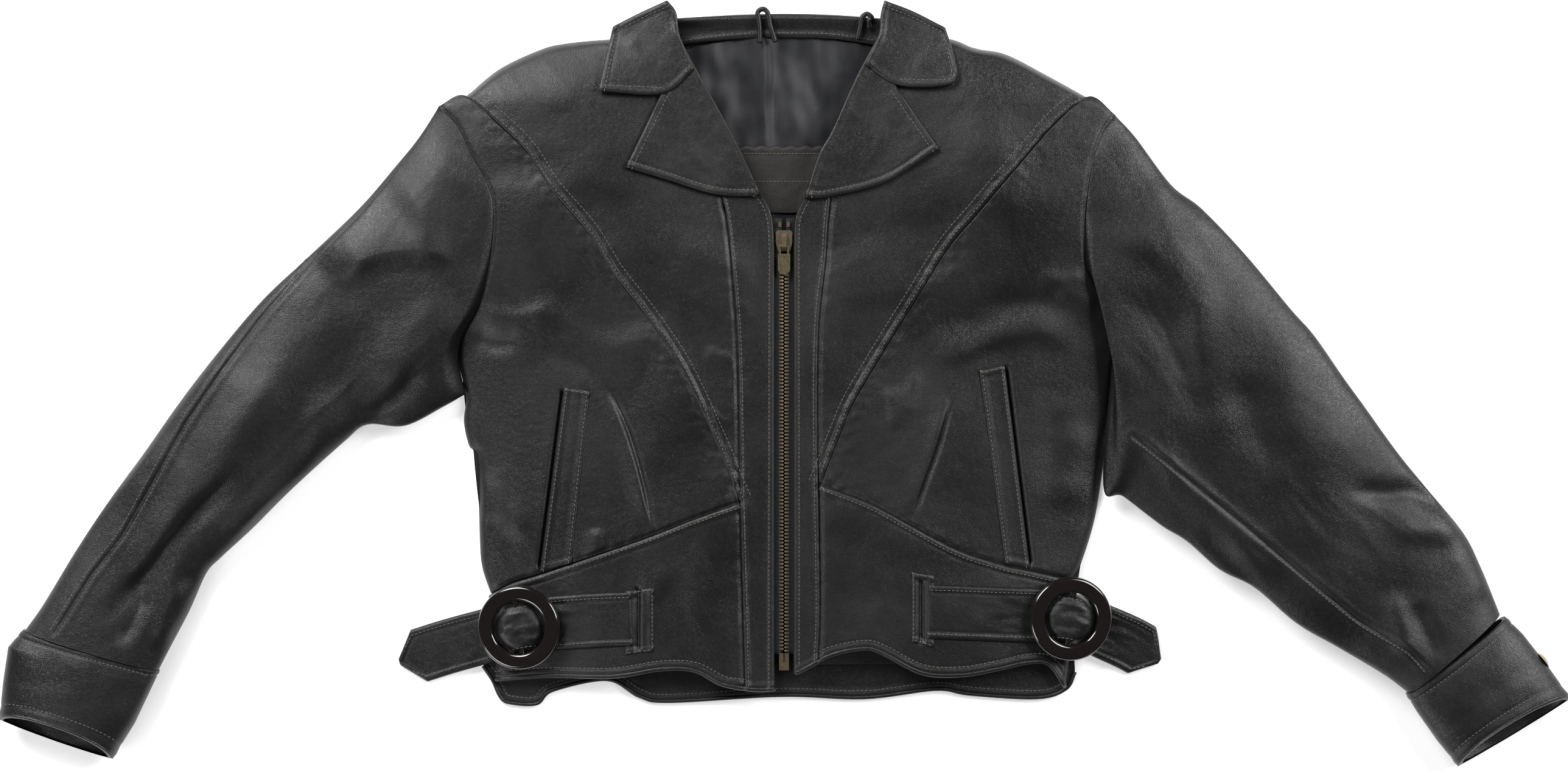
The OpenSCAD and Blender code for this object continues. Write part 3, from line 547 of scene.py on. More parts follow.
def cord_mesh(name, path, radius, material, sides=8, flat=1.0):
    """A round bead along a path of mm points: rings square to the path, closed at both ends."""
    path = np.asarray(path, float)
    way = np.gradient(path, axis=0)
    way /= np.linalg.norm(way, axis=1)[:, None] + 1e-9
    across = np.cross(way, [0, 0, 1.0])
    across /= np.linalg.norm(across, axis=1)[:, None] + 1e-9
    up = np.cross(across, way)
    a = np.linspace(0, 2 * np.pi, sides, endpoint=False)
    r = np.broadcast_to(np.asarray(radius, float), (len(path),))[:, None, None]
    spokes = np.cos(a)[None, :, None] * across[:, None] + flat * np.sin(a)[None, :, None] * up[:, None]
    points = path[:, None] + r * spokes
    faces = quads(len(path), sides, closed=True).tolist()
    last = (len(path) - 1) * sides
    faces += [list(range(sides - 1, -1, -1)), list(range(last, last + sides))]
    return add_mesh(name, points.reshape(-1, 3), faces, material)


def stand_in(obj, body, *nodes, slot="black_leather"):
    """Says which body a piece rides, which nodes it is shown for and which slot it fills."""
    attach(obj, body)
    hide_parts(*nodes)


def dress(node_name, material):
    """Gives a packed node its finish and leaves its shape alone."""
    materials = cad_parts[node_name].data.materials
    materials.clear()
    materials.append(bpy.data.materials[material])


# ---------------------------------------------------------------- materials
def group_socket(tree, name, kind, out, default=None):
    s = tree.interface.new_socket(name=name, in_out="OUTPUT" if out else "INPUT", socket_type=kind)
    if default is not None:
        s.default_value = default
    return s


def add_node(nodes, kind, **inputs):
    """A new shader node with some inputs set; an underscore in a name stands for a space."""
    node = nodes.new("ShaderNode" + kind)
    for key, value in inputs.items():
        node.inputs[key.replace("_", " ")].default_value = value
    return node


def grain_group():
    """Leather grain as a height: rounded cells, pores and long soft creases, from Object coordinates."""
    tree = bpy.data.node_groups.new("grain", "ShaderNodeTree")
    group_socket(tree, "Cells", "NodeSocketFloat", False, 900.0)
    group_socket(tree, "Height", "NodeSocketFloat", True)
    group_socket(tree, "Patches", "NodeSocketFloat", True)
    n, link = tree.nodes, tree.links.new
    gin, gout = n.new("NodeGroupInput"), n.new("NodeGroupOutput")
    where = add_node(n, "TexCoord")
    warp = add_node(n, "TexNoise", Scale=260, Detail=3)
    cells = add_node(n, "TexVoronoi")
    cells.feature = "DISTANCE_TO_EDGE"
    bend = add_node(n, "Mix")
    bend.data_type = "VECTOR"
    bend.inputs["Factor"].default_value = 0.003
    link(where.outputs["Object"], warp.inputs["Vector"])
    link(where.outputs["Object"], bend.inputs[4])
    link(warp.outputs["Color"], bend.inputs[5])
    link(bend.outputs[1], cells.inputs["Vector"])
    link(gin.outputs["Cells"], cells.inputs["Scale"])
    rounded = add_node(n, "MapRange")
    rounded.interpolation_type = "SMOOTHSTEP"
    rounded.inputs["From Max"].default_value = 0.28
    link(cells.outputs["Distance"], rounded.inputs["Value"])
    soft = add_node(n, "TexNoise", Scale=120, Detail=5, Roughness=0.6)
    link(where.outputs["Object"], soft.inputs["Vector"])
    both = add_node(n, "Math")
    both.operation = "MULTIPLY_ADD"
    both.inputs[1].default_value = 0.45
    link(rounded.outputs["Result"], both.inputs[0])
    link(soft.outputs["Fac"], both.inputs[2])
    link(both.outputs[0], gout.inputs["Height"])
    patches = add_node(n, "TexNoise", Scale=14, Detail=4)
    link(where.outputs["Object"], patches.inputs["Vector"])
    link(patches.outputs["Fac"], gout.inputs["Patches"])
    return tree


def leather_material(name, tone, worn_and_highlight_tone, roughness, cells=900.0, depth=0.22):
    """Black leather: grain in the bump, slightly warmer worn ridges, and uneven gloss."""
    m = bpy.data.materials.new(name)
    m.use_nodes = True
    n, link = m.node_tree.nodes, m.node_tree.links.new
    p = n["Principled BSDF"]
    g = add_node(n, "Group")
    g.node_tree = bpy.data.node_groups["grain"]
    g.inputs["Cells"].default_value = cells
    # Mask of the lighter tone: rub wear and painted highlight on ridges and edges.
    wear_and_highlight = add_node(n, "Attribute")
    wear_and_highlight.attribute_name = "wear_and_highlight"
    paint = add_node(n, "Mix")
    paint.data_type = "RGBA"
    paint.inputs[6].default_value = (*tone, 1)
    paint.inputs[7].default_value = (*worn_and_highlight_tone, 1)
    amount = add_node(n, "Math")
    amount.operation = "MULTIPLY_ADD"
    amount.inputs[1].default_value = 0.4
    amount.use_clamp = True
    lift = add_node(n, "MapRange", From_Min=0.45, From_Max=0.75, To_Max=0.2)
    link(g.outputs["Patches"], lift.inputs["Value"])
    link(wear_and_highlight.outputs["Fac"], amount.inputs[0])
    link(lift.outputs["Result"], amount.inputs[2])
    link(amount.outputs[0], paint.inputs["Factor"])
    link(paint.outputs[2], p.inputs["Base Color"])
    gloss = add_node(n, "MapRange", From_Min=0.3, From_Max=0.7, To_Min=roughness - 0.06,
                     To_Max=roughness + 0.08)
    link(g.outputs["Patches"], gloss.inputs["Value"])
    link(gloss.outputs["Result"], p.inputs["Roughness"])
    bump = add_node(n, "Bump", Strength=depth, Distance=0.0006)
    link(g.outputs["Height"], bump.inputs["Height"])
    link(bump.outputs["Normal"], p.inputs["Normal"])
    p.inputs["Specular IOR Level"].default_value = 0.5
    return m


def plain_material(name, colour, roughness, metallic=0.0, coat=0.0, noise_scale=400.0, noise_amount=0.25,
                   bump=0.1, wave=None):
    """A finish with fine unevenness in colour, gloss and height; wave adds woven lines."""
    m = bpy.data.materials.new(name)
    m.use_nodes = True
    n, link = m.node_tree.nodes, m.node_tree.links.new
    p = n["Principled BSDF"]
    p.inputs["Metallic"].default_value = metallic
    p.inputs["Coat Weight"].default_value = coat
    p.inputs["Coat Roughness"].default_value = 0.06
    where = add_node(n, "TexCoord")
    tex = add_node(n, "TexNoise", Scale=noise_scale, Detail=4)
    link(where.outputs["Object"], tex.inputs["Vector"])
    paint = add_node(n, "Mix")
    paint.data_type = "RGBA"
    paint.inputs[6].default_value = (*[c * (1 - noise_amount) for c in colour], 1)
    paint.inputs[7].default_value = (*[min(1, c * (1 + noise_amount)) for c in colour], 1)
    link(tex.outputs["Fac"], paint.inputs["Factor"])
    link(paint.outputs[2], p.inputs["Base Color"])
    rough = add_node(n, "MapRange", To_Min=roughness * 0.8, To_Max=roughness * 1.2)
    link(tex.outputs["Fac"], rough.inputs["Value"])
    link(rough.outputs["Result"], p.inputs["Roughness"])
    b = add_node(n, "Bump", Strength=bump, Distance=0.0003)
    if wave:
        weave = add_node(n, "TexWave", Scale=wave, Distortion=0.4)
        link(where.outputs["Object"], weave.inputs["Vector"])
        link(weave.outputs["Fac"], b.inputs["Height"])
    else:
        link(tex.outputs["Fac"], b.inputs["Height"])
    link(b.outputs["Normal"], p.inputs["Normal"])
    return m


def make_materials():
    """All finishes used by the pieces."""
    grain_group()
    # The second colour is the lighter tone of rubbed ridges and edges, partly a painted highlight.
    leather_material("leather", (0.0052, 0.0048, 0.0047), (0.021, 0.019, 0.018), 0.38, 900.0, 0.3)
    leather_material("leather_inside", (0.012, 0.010, 0.009), (0.022, 0.018, 0.016), 0.6, 700.0, 0.35)
    plain_material("satin", (0.0035, 0.004, 0.0065), 0.42, noise_scale=90, noise_amount=0.3, bump=0.25,
                   wave=900)
    plain_material("thread", (0.11, 0.105, 0.10), 0.5, bump=0.3, wave=3000)
    plain_material("brass", (0.36, 0.29, 0.19), 0.36, metallic=1.0, noise_scale=700, bump=0.25)
    plain_material("tape", (0.010, 0.010, 0.010), 0.75, bump=0.6, wave=1400)
    plain_material("resin", (0.007, 0.0045, 0.004), 0.14, coat=0.9, noise_scale=60, bump=0.03)
    plain_material("felt", (0.05, 0.05, 0.05), 0.95, noise_scale=900, bump=0.8)
    floor = plain_material("floor", (0.96, 0.96, 0.96), 0.8, noise_scale=20, noise_amount=0.01, bump=0.0)
    glow = floor.node_tree.nodes["Principled BSDF"].inputs
    glow["Emission Color"].default_value = (1, 1, 1, 1)
    glow["Emission Strength"].default_value = 0.4


# ---------------------------------------------------------------- pieces
def build_fronts(strength, pitch):
    """Chest, side front, waistband, placket, pocket welt and hem bead of both sides."""
    for side, name in SIDE_NAME.items():
        o = OUTLINE[side]

        def height(x, y, s=side):
            return front_z(x, y) + relief(x, y, s, strength)

        def welt_height(x, y, s=side):
            return front_z(x, y) + relief(x, y, s, strength) * 0.5 + 1.0

        def body_height(x, y, s=side, q=o):
            slit, t, _ = near_line(x, y, [q["welt"][0], q["welt"][1]])
            return height(x, y, s) - 4.5 * bell(slit, 2.2) * ease(0, 0.04, t) * (1 - ease(0.96, 1, t))

        roll, v, placket = o["roll"], o["v"], o["placket"]
        chest_in = [v[0], *placket[2:-1], placket[-1], (roll[1][0] + 6, roll[1][1]),
                    (roll[2][0] + 4, roll[2][1]), o["shoulder"][0]]
        obj, area = panel(f"{name}_chest", side,
                          ([v[0], (v[0][0] + 0.6, v[0][1])], o["shoulder"], chest_in,
                           [(v[0][0] + 0.6, v[0][1]), *v[1:]]),
                          {"right": "turned", "left": "under", "top": "wrap"}, height, 0.35, pitch)
        stand_in(obj, "torso", f"{name}_chest_panel")

        waist, side_line = o["waist"], o["side"]
        obj, area = panel(f"{name}_side_front_leather", side,
                          (waist, v[:-1] + [v[-1], side_line[-1]], [waist[0], v[0]], side_line),
                          {"top": "under", "bottom": "under", "right": "under"}, body_height, 0, pitch,
                          switch=("right", "wrap", o["armpit"]))
        stand_in(obj, "torso", f"{name}_side_front")

        hem_out = [placket[0]] + [p for p in o["hem"] if p[0] > placket[0][0] + 4]
        band_in = [placket[0]] + [p for p in placket[1:] if p[1] < waist[0][1] - 8] + [waist[0]]
        obj, area = panel(f"{name}_waistband_leather", side, (hem_out, waist, band_in, o["low_side"]),
                          {"top": "turned", "right": "wrap", "bottom": "turned", "left": "under"},
                          height, 0.25, pitch)
        stand_in(obj, "torso", f"{name}_waistband")

        zip_line = o["zip"]
        hem_in = [p for p in o["hem"] if p[0] < placket[0][0] - 4] + [placket[0]]
        obj, area = panel(f"{name}_placket_leather", side,
                          (hem_in, [zip_line[-1], (roll[1][0], roll[1][1] - 22), placket[-1]], zip_line,
                                                            placket),
                          {"left": "turned", "right": "turned", "bottom": "turned"}, height, 0.6, pitch)
        stand_in(obj, "torso", f"{name}_placket", f"{name}_front_facing")

        w = o["welt"]
        obj, area = panel(f"{name}_welt_leather", side,
                          ([w[3], w[0]], [w[2], w[1]], [w[3], w[2]], [w[0], w[1]]),
                          {"left": "turned", "right": "turned", "bottom": "turned", "top": "turned"},
                          welt_height, 0, 2.0, thick=1.0)
        stand_in(obj, "torso", f"{name}_pocket_welt")

        faces = [f"{name}_{k}" for k in ("chest", "side_front_leather", "waistband_leather",
                                         "placket_leather", "welt_leather")]
        hem = at_shares(smooth_line(o["hem"]), np.linspace(0, 1, 160))
        spots, _ = drop(faces, beside(hem, 1.4) * [side, 1])
        good = np.isfinite(spots).all(1)
        spots = spots[good]
        bead = np.c_[hem[good] * [side, 1], spots[:, 2] - 0.9]
        obj = cord_mesh(f"{name}_hem_bead", bead, 2.1, "leather")
        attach(obj, "torso")
        seams = ((v, 3.0), (v, 9.5), (waist, -3.4), (placket, 3.2), (zip_line, -4.5), (hem_out, 6.5))
        lines = [beside(smooth_line(seam), d) for seam,
                 d in seams] + [beside(np.array(w[:2], float), 3.0)]
        lines += [[(w[1][0] - 1.5, w[1][1] - 2.5), (w[2][0] + 1.5, w[2][1] - 2.5)]]
        lines += [[(w[2][0] + 2.6, w[2][1]), (w[3][0] + 2.6, w[3][1])]]
        rows = [stitch_row(faces, line, side) for line in lines]
        stitches(f"{name}_front_stitches", rows, "torso")


def build_collar(strength, pitch):
    """Lapels and collar leaves, with a rounded bead where the leather turns over, on the pieces that lift."""
    for side, name in SIDE_NAME.items():
        o = OUTLINE[side]
        body = f"{name}_revers"

        def height(x, y, s=side, q=o):
            d, _, _ = near_line(x, y, smooth_line(q["roll"]))
            crease = folds_at(x, y, [(0.9, 8, 5, [(108, 262), (122, 276), (128, 292)]),
                                     (0.8, 7, 4, [(60, 176), (78, 200), (84, 226)])], strength)
            uneven = 0.5 * noise(x, y, 26, 31 + s) + 0.18 * noise(x, y, 9, 33)
            return front_z(x, y) + 4.3 + 1.6 * np.exp(-d / 7) + uneven + crease

        obj, area = panel(f"{name}_lapel_leather", side,
                          (o["lapel_low"], o["lapel_top"], o["roll"][:-1] + [o["lapel_top"][0]],
                           o["lapel_out"]),
                          {"bottom": "turned", "right": "turned", "left": "turned"}, height, 0, 2.0,
                          thick=2.0)
        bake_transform(obj)
        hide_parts(f"{name}_lapel")
        leaf, area = panel(f"{name}_collar_leaf_leather", side,
                           (o["leaf_low"], o["leaf_top"], o["leaf_in"], o["leaf_out"]),
                           {"bottom": "turned", "right": "turned", "left": "turned", "top": "turned"},
                           height, 1.7, 2.0, thick=2.0)
        stand_in(leaf, body, f"{name}_collar_leaf")
        lap, lf = [f"{name}_lapel_leather"], [f"{name}_collar_leaf_leather"]
        seams = ((lap, o["lapel_low"], 5.5), (lap, o["lapel_out"], 5.5), (lf, o["leaf_low"][1:], 5.0),
                 (lf, o["leaf_out"], 5.0), (lf, o["leaf_top"], -5.0))
        rows = [stitch_row(face, beside(smooth_line(seam), d), side) for face, seam, d in seams]
        stitches(f"{name}_collar_stitches", rows, body)


def build_back(strength, pitch):
    """Back shell, its lining, the neck's facing, stand and hanger loops."""
    left, right = OUTLINE[1], OUTLINE[-1]
    low = np.array(BACK_HEM, float)
    up_l = [(240, -232), *[(x - 1, y) for x, y in left["side"][:4]], (266, -30), (270, 60), (268, 150),
            (268, 222)]
    up_r = [(-248, -227), *[(-(x - 1), y) for x, y in right["side"][:4]], (-262, -20), (-268, 60),
            (-270, 150), (-280, 230)]
    top = [(-280, 230), (-234, 262), (-200, 279), (-150, 287), (-90, 300), (-40, 306), (0, 307),
           (40, 306), (80, 300), (134, 288), (183, 275),
           (216, 258), (268, 222)]

    def height(x, y):
        return 2.0 + 0.5 * noise(x, y, 70, 41) + 0.25 * noise(x, y, 22, 42) + 0.8 * ease(-225, -250, y)

    obj, area = panel("back_shell", 1, (low, top, up_r, up_l), {"bottom": "turned"}, height, 0,
                      max(pitch, 3.0), thick=1.3)
    stand_in(obj, "torso", "back_panel", "back_waistband")
    hem = at_shares(smooth_line(low), np.linspace(0, 1, 260))
    spots, _ = drop(["back_shell"], beside(hem, 1.6))
    good = np.isfinite(spots).all(1)
    bead = cord_mesh("back_hem_bead", np.c_[hem[good], spots[good][:, 2] - 0.3], 1.7, "leather")
    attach(bead, "torso")
    rows = [stitch_row(["back_shell"], beside(smooth_line(low), 5.5))]
    stitches("back_stitches", rows, "torso")

    def lining_height(x, y):
        pleat = 2.6 * np.exp(-(((x + 14 + 0.02 * (y - 240)) / np.where(x > -14, 2.2,
                                                                       9)) ** 2)) * ease(150, 215, y)
        drape = 1.5 * noise(x * 1.0, y * 0.35, 17, 44) + 1.0 * noise(x, y * 0.5, 34,
                                                                     45) + 0.5 * noise(x, y * 0.4, 8, 46)
        return 4.4 + pleat * strength + drape * ease(150, 220, y) + 0.3

    sides = [[(232, -222), (255, -60), (262, 120), (255, 212)],
             [(-232, -222), (-255, -60), (-262, 120), (-255, 212)]]
    obj, area = panel("back_satin", 1,
                      ([(-232, -222), (0, -226), (232, -222)],
                       [(-255, 212), (-120, 270), (0, 292), (120, 270), (255, 212)], sides[1], sides[0]),
                      {}, lining_height, 0, max(pitch, 3.0), "satin", 0.5)
    stand_in(obj, "torso", "back_lining", slot="satin_lining")

    def patch_height(x, y):
        return 7.2 + 0.5 * noise(x, y, 30, 47) + 0.2 * noise(x, y, 9, 48)

    scallop = [(x, 202 - 0.8 * np.cos(x / 1.9)) for x in np.linspace(-66, 66, 90)]
    obj, area = panel("neck_patch", 1,
                      ([(-64, 150), (0, 146), (64, 150)], scallop, [(-64, 150), (-66, 202)],
                       [(64, 150), (66, 202)]),
                      {"top": "turned"}, patch_height, 0, 1.6, "leather_inside", 1.0)
    stand_in(obj, "torso", "inner_facing")
    xs = np.arange(-58, 60, 3.6)
    rows = [stitch_row(["neck_patch"], [(xs[0], h), (xs[-1], h)], pitch=3.0) for h in (195, 172)]
    stitches("neck_patch_stitches", rows, "torso")

    def stand_height(x, y):
        return 8.2 + 2.4 * bell(y - 305, 5) + 0.4 * noise(x, y, 24, 49)

    stand = ([(-92, 283), (-40, 289), (0, 290), (40, 289), (84, 283)],
             [(-90, 306), (-40, 309), (0, 310), (40, 309), (80, 306)],
             [(-92, 283), (-90, 306)], [(84, 283), (80, 306)])
    obj, area = panel("collar_stand", 1, stand, {"top": "turned", "bottom": "turned"}, stand_height, 0,
                      2.0, thick=1.6)
    stand_in(obj, "torso", "collar_back", "neck_facing")
    rows = [stitch_row(["collar_stand"], smooth_line([(-86, 287.5), (-40, 293), (0, 294), (40, 293),
                                                      (78, 287.5)]))]
    stitches("collar_stand_stitches", rows, "torso")
    loops = []
    for k, (a, b, top_y) in enumerate((((-20, 285), (-7, 286), 313), ((60, 288), (70, 298), 309))):
        a, b = np.array(a, float), np.array(b, float)
        mid = (a + b) / 2 + [(-4 if k == 0 else 3), top_y - (a[1] + b[1]) / 2]
        side_step = np.array([4.5, 0])
        line = smooth_line([a, a + (mid - a) * 0.55 - side_step * 0.4, mid - side_step * 0.9 + [0, -3],
                            mid, mid + side_step * 0.9 + [0, -3], b + (mid - b) * 0.5 + side_step * 0.2,
                            b])
        z = 12.6 + 1.6 * np.sin(np.linspace(0, np.pi, len(line)))
        loops.append(cord_mesh(f"hanger_loop_{k + 1}", np.c_[line, z], 2.1, "leather", 10, 0.7))
        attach(loops[-1], "torso")
    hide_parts("hanger_loop")


def build_linings(strength, pitch):
    """Front linings, pocket bags, shoulder pads inside the shell."""
    for side, name in SIDE_NAME.items():
        def inside(x, y):
            return np.maximum(front_z(x, y) - 5.0, 3.6) + 0.5 * noise(x, y, 40, 51)

        obj, area = panel(f"{name}_satin", side,
                          ([(44, -200), (140, -206), (228, -200)], [(88, 250), (130, 252), (190, 238)],
                                                  [(44, -200), (48, 0), (62, 150), (88, 250)],
                                                  [(228, -200), (244, -60), (240, 100), (190, 238)]),
                          {}, inside, 0, 5.0, "satin", 0.5)
        stand_in(obj, "torso", f"{name}_front_lining", slot="satin_lining")

        def bag(x, y):
            return front_z(x, y) - 3.4

        obj, area = panel(f"{name}_pocket_satin", side,
                          ([(104, -146), (190, -140)], [(110, -10), (176, -2)],
                           [(104, -146), (110, -10)], [(190, -140), (176, -2)]),
                          {}, bag, 0, 5.0, "satin", 0.5)
        stand_in(obj, "torso", f"{name}_pocket_bag", slot="satin_lining")
        dress(f"{name}_shoulder_pad", "felt")


def sleeve_grid(side, pitch, strength):
    """Top and under faces of a sleeve.

    A patch from armhole to cuff is swollen to a flattened oval, with folds on top.
    """
    o = OUTLINE[side]
    out, inn = smooth_line(o["sleeve_out"]), smooth_line(o["sleeve_in"])
    start = [p for p in o["side"] if p[1] >= o["armpit"] + 1]
    armhole = smooth_line([tuple(out[0])] + start[::-1][1:] + [tuple(inn[0])])
    end = np.array(o["cuff"][0], float)
    long = (length_of(out) + length_of(inn)) / 2
    u = steps(length_of(armhole), pitch)
    v = steps(long, pitch)
    a, c, lo, li = at_shares(armhole, u), at_shares(end, u), at_shares(out, v), at_shares(inn, v)
    uu, vv = u[None, :, None], v[:, None, None]
    plan = (1 - vv) * a[None] + vv * c[None] + (1 - uu) * lo[:, None] + uu * li[:, None]
    plan -= (1 - uu) * (1 - vv) * a[0] + uu * (1 - vv) * a[-1] + (1 - uu) * vv * c[0] + uu * vv * c[-1]
    x, y = plan[..., 0], plan[..., 1]
    s = np.abs(2 * u - 1)[None, :]
    half = np.interp(v, [0, 0.12, 0.5, 0.85, 1], [12.5, 13.5, 14.5, 15, 18])[:, None]
    round_top = (1 - s**2.6) ** 0.5
    bumps = folds_at(x, y, SLEEVE_FOLDS[side],
                     strength) + 1.6 * noise(x, y, 62, 61 + side) + 0.35 * noise(x, y, 25, 63 + side)
    bumps += 0.08 * noise(x, y, 9, 65 + side) + crumple(x, y, -52, 70, 16, 0.25, 67 + side)
    seam_d, _, _ = near_line(x, y, o["sleeve_seam"])
    bumps += -0.9 * bell(seam_d, 1.5) + 0.5 * bell(seam_d - 4, 3)
    from_armhole = v[:, None] * long
    rise = np.sqrt(1 - (1 - np.minimum(1, (from_armhole + 0.01) / 17)) ** 2)
    to_cuff = ease(0, 26, (1 - v[:, None]) * long)
    z_full = half * (1 + round_top) + 1.5 + bumps * (0.35 + 0.65 * to_cuff) * ease(0, 0.5, round_top)
    z_full = np.maximum(z_full, half * (0.4 + round_top) + 2.5)
    z_seam = np.minimum(front_z(x, y), 26) - 0.6
    top = mix(z_seam, z_full, rise)
    under = half * (1 - 0.97 * (1 - s**3.2) ** 0.5) + 0.35
    under = np.minimum(under, top - 2.4)
    under[:, [0, -1]] = np.minimum(half - 0.4, top[:, [0, -1]] - 1.3)
    return plan, top, under, v, long


def build_sleeves(strength, pitch):
    """Upper and under sleeves, bending across the armhole, and their linings."""
    for side, name in SIDE_NAME.items():
        plan, top, under, v, long = sleeve_grid(side, pitch, strength)
        o = OUTLINE[side]
        x = plan[..., 0] * side
        upper = np.stack([x, plan[..., 1], top], -1)
        lower = np.stack([x, plan[..., 1], under], -1)
        lining_top = upper - [0, 0, 1.1]
        # Ridges of the upper sleeve painted lighter: rub wear and painted highlight; the under sleeve gets
        # none.
        bend = np.gradient(np.gradient(top, axis=0), axis=0) + np.gradient(np.gradient(top, axis=1),
                                                                           axis=1)
        wear_and_highlight = np.clip(-bend * 1.4, 0, 1).ravel()
        points, faces = shell(upper, lining_top, flip=side > 0)
        up = add_mesh(f"{name}_upper_sleeve_leather", points, faces, "leather", np.r_[wear_and_highlight, wear_and_highlight])
        points, faces = shell(lower + [0, 0, 1.1], lower, flip=side > 0)
        un = add_mesh(f"{name}_under_sleeve_leather", points, faces, "leather", np.zeros(len(points)))
        surface(up.name, upper)
        inner = slice(4, -4)
        lt = upper[:, inner] - [0, 0, 2.4]
        lb = lower[:, inner] + [0, 0, 2.2]
        lt[..., 2] = np.maximum(lt[..., 2], lb[..., 2] + 1.0)
        ring = np.concatenate([lt, lb[:, ::-1]], 1)[5::3, ::3]
        hole = ring.copy()
        mid = ring.mean(1, keepdims=True)
        hole = mid + (ring - mid) * 0.985
        rows, cols = ring.shape[:2]
        ends = [[k, (k + 1) % cols, (k + 1) % cols + rows * cols, k + rows * cols] for k in range(cols)]
        tail = [[k + (rows - 1) * cols, k + (rows - 1) * cols + rows * cols,
                 (k + 1) % cols + (rows - 1) * cols + rows * cols,
                 (k + 1) % cols + (rows - 1) * cols] for k in range(cols)]
        f = np.vstack([quads(rows, cols, closed=True, flip=side > 0),
                       quads(rows, cols, rows * cols, closed=True, flip=side < 0), ends, tail])
        lining = add_mesh(f"{name}_sleeve_satin", np.vstack([ring.reshape(-1, 3), hole.reshape(-1, 3)]),
                          f, "satin")
        for obj, node, slot, times in ((up, "upper_sleeve", "black_leather", 1),
                                       (un, "under_sleeve", "black_leather", 1),
                                       (lining, "sleeve_lining", "satin_lining", 2)):
            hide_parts(f"{name}_{node}")
        seam = smooth_line(o["sleeve_seam"])
        gap = 3.4 if side < 0 else 0.0
        rows = [stitch_row([up.name], beside(seam, -2.6),
                           side)] + ([stitch_row([up.name], beside(seam, 4.6), side)] if gap else [])
        sewn = stitches(f"{name}_sleeve_stitches", rows, None)
        for obj in (up, un, lining, sewn):
            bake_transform(obj)


def build_cuffs(strength, pitch):
    """Cuffs as open bands with a turned lip, rows of stitching and their buttons."""
    for side, name in SIDE_NAME.items():
        o = OUTLINE[side]
        body = f"{name}_sleeve"
        stations = np.array(o["cuff"], float)
        halves = [16.5, 17.5, 19, 20]
        t = np.linspace(0, 1, 40)
        pos = np.linspace(0, 1, len(stations))
        out = np.stack([np.interp(t, pos, stations[:, 0, k]) for k in (0, 1)], -1)
        inn = np.stack([np.interp(t, pos, stations[:, 1, k]) for k in (0, 1)], -1)
        half = np.interp(t, pos, halves)
        way = (out[-1] + inn[-1] - out[0] - inn[0])
        way = way / np.linalg.norm(way)
        a = np.linspace(0, 2 * np.pi, 120, endpoint=False)
        c, sn = np.cos(a), np.sin(a)
        cx = np.sign(c) * np.abs(c) ** 0.9
        mid, arm = (out + inn) / 2, (out - inn) / 2
        plan = mid[:, None] + arm[:, None] * cx[None, :, None]
        lag = np.where(sn > 0, -12.0 * sn, 5.0 * -sn)[None, :] * ease(0.5, 1, t)[:, None]
        plan = plan + way * lag[..., None]
        swell = 0.8 * np.sin(np.pi * t)[:, None] + 0.5 * noise(plan[..., 0], plan[..., 1], 18, 71 + side)
        z = half[:, None] + 1.2 + (half[:, None] + swell) * np.sign(sn)[None] * np.abs(sn)[None] ** 0.75
        z = np.maximum(z, 0.4)
        lip = 0.5 * bell(t - 0.06, 0.03) + 0.6 * bell(t - 0.95, 0.03)
        lip -= 0.5 * bell(t - 0.13, 0.015) + 0.5 * bell(t - 0.88, 0.015)
        outer = np.stack([plan[..., 0] * side, plan[..., 1], z], -1)
        centre = np.stack([mid[:, 0] * side, mid[:, 1], half + 1.2], -1)[:, None]
        way_out = outer - centre
        way_out /= np.linalg.norm(way_out, axis=2)[..., None]
        outer = outer + way_out * (1.2 + lip)[:, None, None]
        outer[..., 2] = np.maximum(outer[..., 2], 0.3)
        inner = centre + (outer - centre) * 0.93
        inner[..., 2] = np.maximum(inner[..., 2], 1.9)
        rows_n, cols = outer.shape[:2]
        n = rows_n * cols
        ids = np.arange(cols)
        nxt = (ids + 1) % cols
        first = np.stack([ids, nxt, nxt + n, ids + n], -1)
        last = np.stack([nxt, ids, ids + n, nxt + n], -1) + (rows_n - 1) * cols
        flip = side > 0
        f = np.vstack([quads(rows_n, cols, closed=True, flip=not flip),
                       quads(rows_n, cols, n, closed=True, flip=flip),
                       first[:, ::-1] if not flip else first, last[:, ::-1] if not flip else last])
        # The lip bulges are painted lighter: rub wear and painted highlight.
        obj = add_mesh(f"{name}_cuff_leather", np.vstack([outer.reshape(-1, 3), inner.reshape(-1, 3)]),
                       f, "leather", np.r_[np.clip(lip, 0, 1).repeat(cols), np.zeros(n)])
        surface(obj.name, outer[:, (sn > 0.02)])
        stand_in(obj, body, f"{name}_cuff")
        upper = plan[:, sn > 0.08]
        rows = [stitch_row([obj.name], upper[k], side) for k in (5, 34)]
        stitches(f"{name}_cuff_stitches", rows, body)
        dress(f"{name}_cuff_button", "brass")


